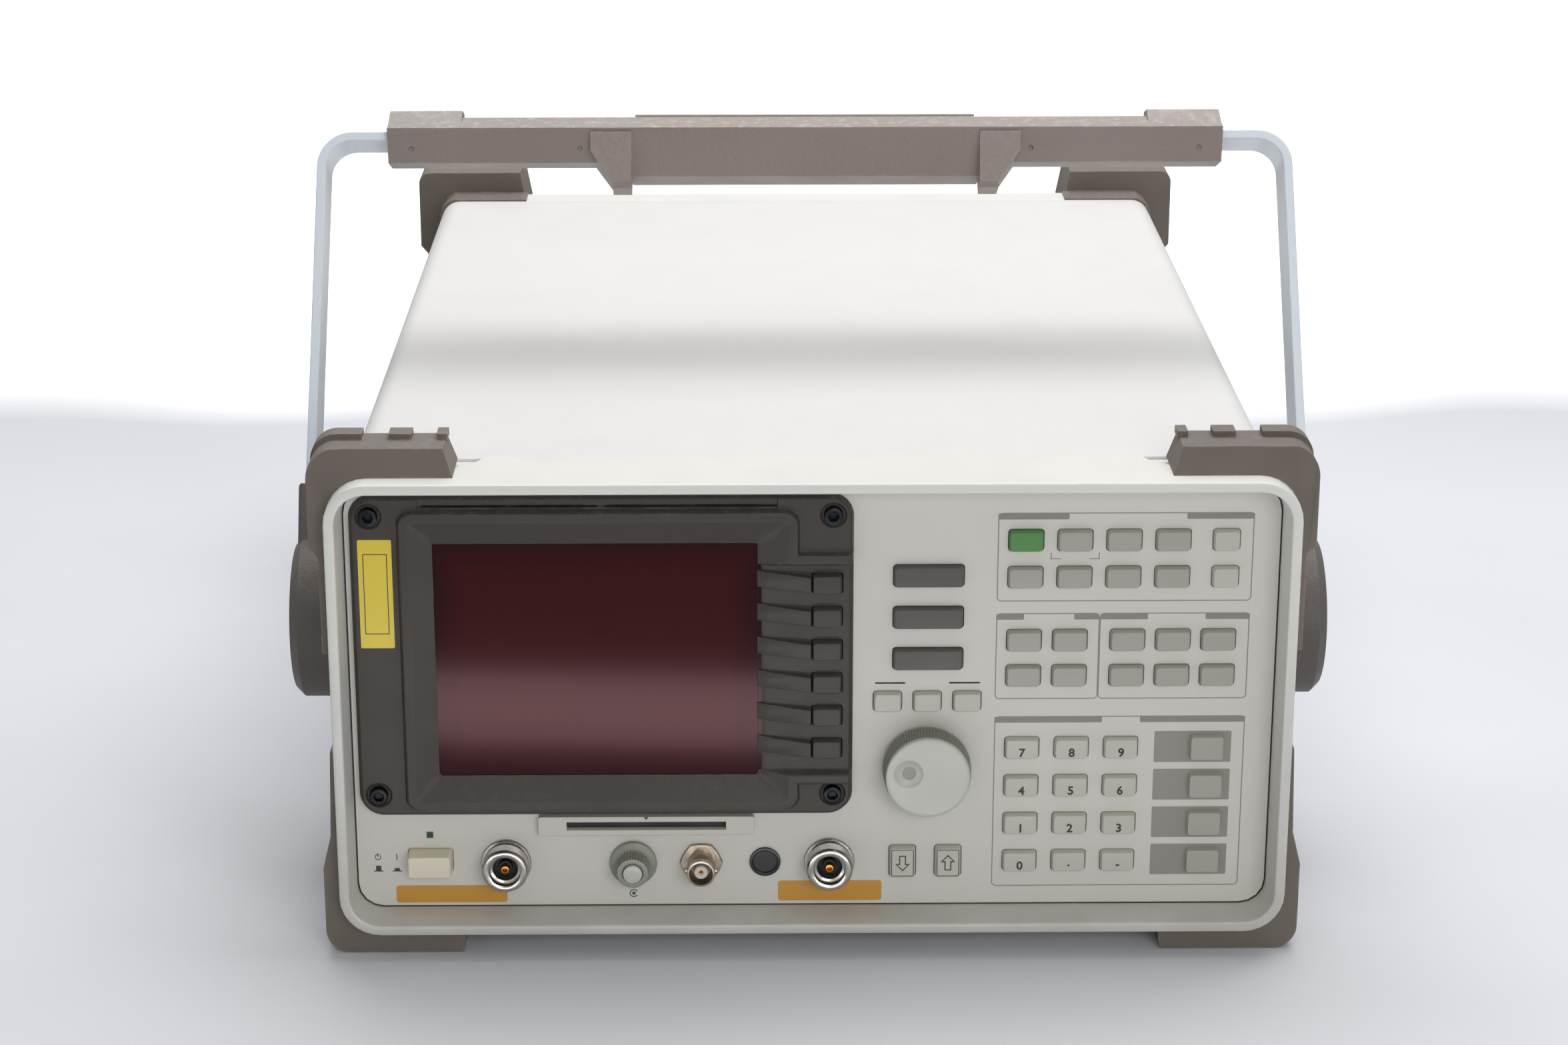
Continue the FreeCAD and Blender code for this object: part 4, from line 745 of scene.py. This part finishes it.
def finger_ridge(z):
    """Tapered tongue from the screen's edge to a softkey: its section grows forward as it runs right.

    Stations run along x; each is a rounded rectangle whose middle drops and whose face comes forward."""
    x = np.array([-18.9, -18.7, -15.7, -15.2, -0.8, -0.6])
    face = np.array([11.5, 11.1, 9.75, 9.6, 8.25, 8.5])
    middle = z + np.array([1.6, 1.6, 1.4, 1.35, -0.1, -0.1])
    half = np.array([2.95, 3.0, 3.0, 2.95, 2.55, 2.5])
    u = np.array([-1.0, -1.0, -0.97, -0.88, 0.88, 0.97, 1.0, 1.0])
    rise = np.array([0.0, 0.8, 0.95, 1.0, 1.0, 0.95, 0.8, 0.0])
    back = 12.4
    points = np.stack([np.repeat(x[:, None], len(u), 1), back + (face[:, None] - back) * rise[None],
                       middle[:, None] + half[:, None] * u[None]], -1)
    return ring_stack(points)


def make_display():
    """Bezel, the ridges beside its softkeys, its four screws and the screen."""
    make_bezel()
    placed("finger_ridges", joined(*[finger_ridge(z) for z in SOFTKEYS]), "bezel_plastic")
    heads = [cap_screw(x, z) for x, z in SCREWS]
    placed("bezel_screw_heads", joined(*heads), "screw_steel", stands_for=("bezel_screws",))
    make_screen()


def make_screen():
    """Filter plate: flat rings nested from its rim inwards, carrying their distance from the rim."""
    x, z, width, height = SCREEN
    width, height, back, front = width + 7, height + 7, PANEL_Y, 11.5
    insets = np.array([0.0, 0.4, 3.5, 5.0, 7.0, 10.0, 14.0, 19.0, 26.0, 36.0, 44.0])
    rings = [rounded_ring(x, z, width, height, 2.0, level) for level in (back, front + 0.3)]
    rings += [rounded_ring(x, z, width - 2 * i, height - 2 * i, max(2.0 - i, 0.4), front) for i in insets[1:]]
    mesh = mesh_from("screen_glass", *ring_stack(rings), angle=math.radians(20))
    edge = mesh.attributes.new("rim_distance", "FLOAT", "POINT")
    levels = np.concatenate([[0.0, 0.0], np.maximum(insets[1:] - 3.5, 0)]) * MM
    edge.data.foreach_set("value", np.repeat(levels, len(rings[0])).astype(np.float32))
    finish_object("screen_glass", mesh, "filter_glass", stands_for=("screen_filter",))


def cap_screw(x, z):
    """Socket screw: a domed collar round a six-sided well, the well's radius following a hexagon."""
    profile = [(3.2, 11.0), (3.25, 9.0), (3.0, 8.3), (2.5, 8.05), (1.9, 8.1), (1.6, 8.4), (1.5, 10.2)]

    def hexagonal(angle, radius, y):
        return np.where(radius < 1.7, radius * (hexagon(angle) - 0.93), 0.0)
    return turned(x, z, profile, 48, hexagonal)


# ---- bumpers and handle ----

def front_draft(points):
    """Upper bumpers lean back: above the frame's top, the front face moves 4 mm over the crown."""
    above = np.clip((points[:, 2] - FRAME_HEIGHT) / 9.0, 0, 1)
    front = points[:, 1] < 12.0
    moved = points.copy()
    moved[:, 1] += np.where(front, 4.0 * above, 0.0)
    return moved


def make_bumpers():
    """Rubber corners, their edges rounded; the front ones lean back over the top."""
    dressed("front_bumpers", "front_corner_bumpers", "bumper_rubber", bevel=1.1, shape=front_draft)
    dressed("rear_bumpers", "rear_corner_bumpers", "bumper_rubber", bevel=1.1)


def make_handle():
    """Strap, grip and hub caps, which swing as one body."""
    dressed("handle_strap", "handle_strap_bar", "strap_paint", "handle", bevel=0.5)
    dressed("handle_grip", "handle_grip_shell", "grip_plastic", "handle", bevel=1.0)
    dressed("handle_caps", "hub_caps", "cap_plastic", "handle", bevel=0.9)


# ---- knobs and connectors ----

KNOB_X, KNOB_Z = 39.1, 57.3
LEVEL_X, LEVEL_Z = -61.9, 21.3
SOCKET_Z = 21.5
JACKS_X, CALIBRATOR_X, PROBE_X = (-105.9, 5.9), -38.4, -16.3


def knurl(teeth, depth, low, high):
    """Ripple that cuts teeth into the part of the side between two radii: a rounded triangle wave."""
    def ripple(angle, radius, y):
        wave = np.abs(((angle * teeth / (2 * math.pi)) % 1.0) * 2 - 1)
        side = (radius > low) & (radius < high)
        return np.where(side, -depth * ramp(wave, 1.0), 0.0)
    return ripple


def make_tuning_knob():
    """Large knob: a knurled side that widens to the panel, and a smooth face with a finger dimple."""
    side = [(13.5, 11.15), (15.15, 11.1), (15.2, 10.6), (15.05, 8.2), (14.85, 5.0), (14.72, 2.9), (14.4, 2.5),
            (13.0, 2.45)]
    rim = turned(KNOB_X, KNOB_Z, side, 360, knurl(90, 0.5, 14.45, 15.3))
    placed("tuning_knob_side", rim, "skirt_plastic", "tuning_knob")
    edge = [(13.2, 3.2), (14.35, 3.1), (14.45, 2.6), (14.45, 1.7), (14.2, 1.2), (13.7, 1.0), (13.1, 1.0)]
    face = [(r, 1.0 + 0.35 * (1 - (r / 13.0) ** 2)) for r in np.linspace(12.7, 0.4, 44)]
    points, faces = turned(KNOB_X, KNOB_Z, edge + face, 160)
    dip = np.hypot(points[:, 0] - (KNOB_X - 6.6), points[:, 2] - (KNOB_Z + 1.5)) / 5.0
    on_face = points[:, 1] < 1.6
    points[:, 1] += np.where(on_face, 1.5 * np.maximum(1 - dip ** 2, 0) ** 0.8, 0)
    placed("tuning_knob_face", (points, faces), "knob_plastic", "tuning_knob", ("tuning_knob",))


def make_level_knobs():
    """Two concentric knobs: a plain skirt under a fluted ring, and a fluted cap inside it."""
    ring = [(7.6, 13.2), (8.1, 13.1), (8.2, 12.4), (8.0, 11.6), (7.2, 11.2), (6.2, 11.0), (5.75, 10.6),
            (5.7, 10.0), (5.65, 4.4), (5.3, 3.8), (4.4, 3.6), (3.7, 3.7), (3.65, 5.2)]
    fluted = knurl(32, 0.7, 5.5, 5.72)
    points = turned(LEVEL_X, LEVEL_Z, ring, 150, fluted)
    placed("volume_ring", points, "skirt_plastic", "volume_knob", ("volume_knob",))
    cap = [(3.3, 5.2), (3.38, 3.4), (3.2, 2.9), (2.8, 2.72), (1.4, 2.7), (0.3, 2.7)]
    points = turned(LEVEL_X, LEVEL_Z, cap, 120, knurl(24, 0.25, 3.3, 3.5))
    placed("intensity_cap", points, "knob_plastic", "intensity_knob", ("intensity_knob",))


def threaded(radius, y0, y1, pitch, depth):
    """Profile points of a thread seen as grooves: crest, flank and root once every pitch."""
    count = int((y1 - y0) / pitch)
    steps = y0 + pitch * np.arange(count)
    crest = np.stack([np.full(count, radius), steps + 0.15 * pitch], -1)
    crest2 = np.stack([np.full(count, radius), steps + 0.45 * pitch], -1)
    root = np.stack([np.full(count, radius - depth), steps + 0.8 * pitch], -1)
    return np.stack([crest, crest2, root], 1).reshape(-1, 2).tolist()


def make_coaxial_jacks():
    """Two large threaded jacks: a knurl-free collar, a threaded barrel, a bore whose insulator core is
    coloured dark as painted shade, and a gold contact.
    """
    core = [(4.35, 13.2), (4.3, 11.8), (2.4, 11.6), (2.2, 9.6), (1.7, 9.4), (0.2, 9.4)]
    pin = [(1.5, 13.0), (1.5, 7.4), (1.3, 7.0), (0.9, 6.9), (0.75, 7.2), (0.7, 9.0)]
    shells, cores, pins = [], [], []
    for x in JACKS_X:
        outside = [(8.7, 13.4), (8.75, 12.5), (8.5, 12.1), (7.3, 12.0)]
        outside += threaded(7.9, 6.0, 11.9, 1.06, 0.55)[::-1]
        outside += [(7.6, 5.7), (7.35, 5.0), (6.9, 4.85), (6.0, 4.85), (5.4, 5.1), (5.2, 6.0), (5.2, 7.6),
                    (4.4, 7.9), (4.3, 13.0)]
        shells.append(turned(x, SOCKET_Z, outside, 72))
        cores.append(turned(x, SOCKET_Z, core, 48))
        pins.append(turned(x, SOCKET_Z, pin, 32))
    placed("rf_jack_shells", joined(*shells), "connector_steel", stands_for=("rf_connectors",))
    # Painted shade: the insulator cores take a near-black finish that stands for the shade inside each bore.
    placed("rf_jack_cores_painted_shade", joined(*cores), "dark_hollow")
    placed("rf_jack_contacts", joined(*pins), "contact_gold")


def make_calibrator_jack():
    """Small bayonet jack: a flat-sided nut, a stepped barrel with two lugs, and its contact."""
    x = CALIBRATOR_X
    barrel = [(5.6, 13.3), (5.6, 12.4), (4.9, 12.0), (4.85, 6.6), (4.6, 6.2), (4.6, 4.0), (4.8, 3.6),
              (4.83, 3.0), (4.6, 2.75), (4.15, 2.7), (4.05, 3.1), (4.0, 10.4)]
    washer = [(7.4, 13.4), (7.45, 12.3), (7.2, 12.0), (5.5, 11.9)]

    def flats(angle, radius, y):
        return np.where(radius > 6.9, radius * (hexagon(angle) - 1.0) * 0.55, 0.0)
    lugs, lug_y = [], 5.6
    theta = circle(20)
    for sign in (-1, 1):
        rings = [np.stack([np.full(20, x + sign * reach), lug_y + r * np.cos(theta),
                           SOCKET_Z + r * np.sin(theta)], -1)
                 for reach, r in ((4.4, 1.0), (5.4, 1.0), (5.65, 0.8))]
        lugs.append(ring_stack(rings))
    parts = joined(turned(x, SOCKET_Z, barrel, 72), turned(x, SOCKET_Z, washer, 72, flats), *lugs)
    placed("calibrator_shell", parts, "connector_nickel", stands_for=("calibrator_connector",))
    core = [(3.9, 11.0), (3.85, 9.6), (2.5, 9.4), (2.4, 4.2), (2.2, 3.9), (0.9, 3.9), (0.75, 4.2), (0.7, 8.0)]
    placed("calibrator_core", turned(x, SOCKET_Z, core, 48), "insulator")
    pin = [(0.72, 9.0), (0.7, 4.6), (0.55, 4.4), (0.4, 4.5), (0.35, 6.0)]
    placed("calibrator_contact", turned(x, SOCKET_Z, pin, 24), "contact_gold")


def make_probe_socket():
    """Black keyed socket: a rolled lip round a well, three pins standing in it."""
    lip = [(5.3, 13.4), (5.4, 12.9), (5.2, 12.5), (4.6, 12.4), (4.2, 12.7), (4.1, 13.2), (4.0, 18.5)]
    shell = turned(PROBE_X, SOCKET_Z, lip, 48)
    pins, pin_circle = [], 2.0
    for degrees in (90, 210, 330):
        px = PROBE_X + pin_circle * math.cos(math.radians(degrees))
        pz = SOCKET_Z + pin_circle * math.sin(math.radians(degrees))
        pins.append(turned(px, pz, [(0.7, 18.4), (0.7, 14.6), (0.5, 14.2), (0.2, 14.1)], 16))
    placed("probe_socket_shell", shell, "socket_black", stands_for=("probe_power_socket",))
    placed("probe_socket_pins", joined(*pins), "socket_black")


# ---- keys ----

def make_keys():
    """Every key cap is its CAD node's merged mesh, riding the body that presses it."""
    slots = {entry["node"]: entry["material_slot"] for entry in frame["record"]["subparts"]}
    for body, members in frame["record"]["behaviour"]["bodies"].items():
        for node in members:
            if "_key" in node or "_row_" in node or node.startswith("softkey"):
                key = dressed(node, node + "_cap", slots[node], body)
                if node.startswith("state_row"):
                    paint_side_key(key.data)


def face_centres(mesh):
    """Middle of each face, in the mesh's own metres."""
    centres = np.empty(len(mesh.polygons) * 3)
    mesh.polygons.foreach_get("center", centres)
    return centres.reshape(-1, 3)


def paint_side_key(mesh):
    """The end key of a state row is pale: its faces take the second material."""
    side_key_from = 130
    mesh.materials.append(MATERIALS["key_light"])
    pale = face_centres(mesh)[:, 0] > side_key_from * MM
    mesh.polygons.foreach_set("material_index", pale.astype(np.int32))


# ---- print on the panel ----

NUMBER_X, NUMBER_Z, NUMBER_PITCH = 71.75, 63.7, (16.95, 14.03)
STEP_Z, STEP_HALF_GAP = 21.6, 7.85
KEY_FACE = 10.9 - 0.03


def strip_ring(cx, cz, width, height, radius, line, y):
    """Flat line round a rounded rectangle: quads between an outer and an inner ring."""
    outer = rounded_ring(cx, cz, width, height, radius, y, 5)
    inner = rounded_ring(cx, cz, width - 2 * line, height - 2 * line, max(radius - line, 0.1), y, 5)
    points = np.concatenate([inner, outer])
    faces = [list(reversed(f)) for f in grid_faces(2, len(outer), wrap_columns=True)]
    return points, faces


def flat_patch(x0, x1, z0, z1, y, radius=0.4):
    """Flat filled rectangle with round corners."""
    ring = rounded_ring((x0 + x1) / 2, (z0 + z1) / 2, x1 - x0, z1 - z0, radius, y, 4)
    return ring, [list(range(len(ring)))]


def flat_shape(outline, y):
    """Flat filled outline of (x, z) points, given anticlockwise as seen from the front."""
    ring = np.array([(x, y, z) for x, z in outline])
    return ring, [list(range(len(ring)))]


def printed(name, parts, material, body="instrument"):
    """Flat parts as one sheet whose faces all look forward."""
    mesh = mesh_from(name, *joined(*parts), closed=False)

    def turn_forward(work):
        backs = [f for f in work.faces if f.normal.y > 0]
        bmesh.ops.reverse_faces(work, faces=backs)
    reworked(mesh, turn_forward)
    finish_object(name, mesh, material, body)


def make_panel_print():
    """Flat marks just proud of the panel: group outlines, title bars, key patches, colour patches, signs, and
    a painted shadow line round the panel's edge.
    """
    y = PANEL_Y - 0.03
    boxes = [(62.1, 148.2, 116.8, 148.4), (62.1, 97.2, 81.4, 112.6), (97.2, 148.0, 81.4, 112.6),
             (62.2, 148.0, 11.7, 75.1)]
    lines = [strip_ring((a + b) / 2, (c + d) / 2, b - a, d - c, 1.6, 0.35, y) for a, b, c, d in boxes]
    bars = [(62.1, 86.0, 147.1), (125.5, 148.2, 147.1), (62.1, 71.5, 111.3), (88.5, 97.0, 111.3),
            (97.4, 113.5, 111.3), (133.0, 148.0, 111.3), (62.2, 99.0, 73.8), (112.0, 148.0, 73.8)]
    bars = [flat_patch(a, b, z - 1.05, z + 1.05, y - 0.01, 0.4) for a, b, z in bars]
    bars += [flat_patch(21.3, 31.5, 87.3, 87.6, y), flat_patch(46.5, 57.0, 87.3, 87.6, y)]
    bracket = [flat_patch(80.0, 80.3, 131.9, 134.4, y, 0.1), flat_patch(96.2, 96.5, 131.9, 134.4, y, 0.1),
               flat_patch(80.0, 83.5, 131.9, 132.2, y, 0.1), flat_patch(93.0, 96.5, 131.9, 132.2, y, 0.1)]
    printed("panel_outlines", lines + bars + bracket, "line_ink")
    patches = [flat_patch(117.2, 143.6, z - 5.75, z + 5.75, y)
               for z in NUMBER_Z - NUMBER_PITCH[1] * np.arange(4)]
    printed("unit_patches", patches, "patch_ink")
    amber = [flat_patch(-144.3, -105.8, 6.4, 12.9, y, 1.0), flat_patch(-11.8, 24.1, 6.5, 14.1, y, 1.0)]
    printed("amber_patches", amber, "amber_ink")
    icons = [ring_arc(-150.2, 23.7, 1.1, 0.3, 60, 400, y), flat_patch(-150.35, -150.05, 23.7, 25.1, y, 0.1),
             flat_patch(-143.85, -143.55, 22.4, 24.9, y, 0.1)]
    for x in (-150.1, -143.7):
        icons.append(flat_patch(x - 1.6, x + 1.6, 18.2, 18.6, y, 0.1))
        icons.append(flat_patch(x - 0.9, x + 0.9, 18.6, 20.4 if x < -147 else 19.5, y, 0.1))
    icons += [flat_shape([(-58.0, 39.6), (-56.4, 39.6), (-57.2, 38.4)][::-1], 10.45)]
    icons += [ring_arc(-61.9, 9.6, 1.5, 0.35, 30, 330, y), ring_arc(-61.9, 9.6, 0.6, 0.6, 0, 360, y)]
    printed("panel_icons", icons, "ink")
    label = flat_patch(-152.5, -141.1, 102.2, 140.8, BEZEL_FRONT - 0.06, 0.5)
    printed("yellow_label_face", [label], "yellow_label")
    border = strip_ring(-146.8, 121.5, 8.2, 28.6, 0.2, 0.3, BEZEL_FRONT - 0.08)
    # Painted shadow: a dark line round the panel's edge, standing for the shade in the narrow gap under the
    # frame's lip.
    edge = strip_ring(0.0, MID_Z, FRAME_WIDTH - 9.8, FRAME_HEIGHT - 9.8, 9.1, 0.5, y + 0.01)
    printed("panel_edge_painted_shadow", [edge], "dark_hollow")
    printed("yellow_label_border", [border], "ink")


def ring_arc(cx, cz, radius, line, start, end, y):
    """Flat arc: quads between two radii from one angle to another, in degrees."""
    turn = np.radians(np.linspace(start, end, 24))
    inner, outer = [np.stack([cx + r * np.cos(turn), np.full(24, y), cz + r * np.sin(turn)], -1)
                    for r in (radius - line, radius)]
    return np.concatenate([outer, inner]), grid_faces(2, 24)


def glyph(text, size, cx, cz, y):
    """Outline of a plain numeral as flat faces, centred on a key's face."""
    curve = bpy.data.curves.new("glyph", "FONT")
    curve.body, curve.size = text, size
    curve.align_x, curve.align_y = "CENTER", "CENTER"
    curve.resolution_u = 3
    curve.offset = 0.13
    item = into_scene("glyph", curve)
    bpy.context.view_layer.update()
    mesh = bpy.data.meshes.new_from_object(item.evaluated_get(bpy.context.evaluated_depsgraph_get()))
    flat = np.array([v.co for v in mesh.vertices])
    faces = [list(p.vertices) for p in mesh.polygons]
    bpy.data.objects.remove(item)
    middle = (flat.min(0) + flat.max(0)) / 2
    points = np.stack([cx + flat[:, 0] - middle[0], np.full(len(flat), y), cz + flat[:, 1] - middle[1]], -1)
    return points, faces


def make_numerals():
    """Numerals on the number keys, a little below each face's middle, and a boxed arrow on each step key."""
    size, drop = 4.3, 1.1
    rows = (("7", "8", "9"), ("4", "5", "6"), ("1", "2", "3"), ("0", ".", "-"))
    for row, signs in enumerate(rows):
        z = NUMBER_Z - NUMBER_PITCH[1] * row - drop
        marks = [glyph(sign, size, NUMBER_X + NUMBER_PITCH[0] * i, z, KEY_FACE)
                 for i, sign in enumerate(signs)]
        printed("numerals_%d" % (row + 1), marks, "ink", "number_row_%d" % (row + 1))
    arrow = [(0, 3.1), (-2.6, 0.3), (-1.2, 0.3), (-1.2, -2.8), (1.2, -2.8), (1.2, 0.3), (2.6, 0.3)]
    hollow = [(0, 2.45), (-1.75, 0.72), (-0.78, 0.72), (-0.78, -2.38), (0.78, -2.38), (0.78, 0.72),
              (1.75, 0.72)]
    for name, way in (("step_down", -1), ("step_up", 1)):
        x = KNOB_X + way * STEP_HALF_GAP
        outer, inner = [np.array([(x + a, KEY_FACE, STEP_Z + way * b) for a, b in outline])
                        for outline in (arrow, hollow)]
        shape = (np.concatenate([outer, inner]), grid_faces(2, 7, wrap_columns=True))
        box = strip_ring(x, STEP_Z, 7.8, 10.0, 0.6, 0.28, KEY_FACE)
        printed(name + "_arrow", [shape, box], "ink", name + "_key")


# ---- the rest ----

def make_small_parts():
    """Card slot with a painted shadow for its inside, the lamp, and the rear's frame, plate and sockets."""
    dressed("card_slot", "card_slot_bezel", "slot_plastic", bevel=0.35)
    # Painted shadow: a dark flat patch stands for the shade inside the slot.
    hollow = flat_patch(-84.4, -30.0, 34.75, 37.55, 13.0, 0.2)
    printed("card_slot_shadow", [hollow], "dark_hollow")
    dressed("line_lamp", "line_lamp_lens", "lamp_lens")
    paint_rear_sockets(dressed("rear_connectors", "rear_sockets", "connector_nickel", bevel=0.3).data)
    dressed("rear_frame", "rear_frame_body", "frame_paint", bevel=0.8)
    dressed("rear_panel", "rear_panel_plate", "panel_paint").data.shade_flat()


def paint_rear_sockets(mesh):
    """The jacks stay nickel.  The port below them is plain metal round a black insert; the inlet is black."""
    for finish in ("module_metal", "socket_black"):
        mesh.materials.append(MATERIALS[finish])
    x, y, z = ((face_centres(mesh) - ORIGIN) / MM).T
    port_x, port_z, half_width, half_height = 55.0, 91.0, 26.2, 4.2
    plate_back = extent("rear_panel")[1][1]
    insert = (np.abs(x - port_x) < half_width) & (np.abs(z - port_z) < half_height) & (y < plate_back + 1)
    jacks_above, inlet_below = 110, 60
    finish = np.where(z > jacks_above, 0, np.where((z < inlet_below) | insert, 2, 1))
    mesh.polygons.foreach_set("material_index", finish.astype(np.int32))


def clothe_nodes():
    """Every CAD node that still shows gets its slot's finish."""
    for entry in frame["record"]["subparts"]:
        node = nodes[entry["node"]]
        node.data.materials.clear()
        node.data.materials.append(MATERIALS[entry["material_slot"]])


def make_floor():
    """Pale table that fades to white behind: a flat sheet, whitened past a gently waved line."""
    material, n, shader = principled("table_top")
    shader.inputs["Roughness"].default_value = 0.5
    shader.inputs["Specular IOR Level"].default_value = 0.0
    where = n.place()
    wave = n.times(n.noise(where, 2.4, 1.0), 0.22)
    far = n.remap(n.math("ADD", n.axis(where, "Y"), wave), 0.53, 0.64)
    cloud = n.remap(n.noise(where, 3.0, 3.0), 0.3, 0.7)
    tone = n.mix_colour(cloud, rgb(224, 226, 231), rgb(232, 234, 239))
    n.link(n.mix_colour(far, tone, (0.85, 0.85, 0.85, 1)), shader.inputs["Base Color"])
    shader.inputs["Emission Color"].default_value = (1, 1, 1, 1)
    path = n.add("ShaderNodeLightPath")
    n.link(n.times(far, path.outputs["Is Camera Ray"]), shader.inputs["Emission Strength"])
    mesh = bpy.data.meshes.new("table_top")
    side, floor_z = 6.0, 0.0
    corners = [(-side, -side), (side, -side), (side, side), (-side, side)]
    mesh.from_pydata([(x, y, floor_z) for x, y in corners], [], [(0, 1, 2, 3)])
    mesh.materials.append(material)
    floor = into_scene("table_top", mesh)


bpy.context.scene.view_settings.view_transform = "Standard"
make_camera()
MATERIALS = make_materials()
make_studio()
make_floor()
clothe_nodes()
make_front_frame()
make_case()
make_display()
make_bumpers()
make_handle()
make_tuning_knob()
make_level_knobs()
make_coaxial_jacks()
make_calibrator_jack()
make_probe_socket()
make_keys()
make_panel_print()
make_numerals()
make_small_parts()
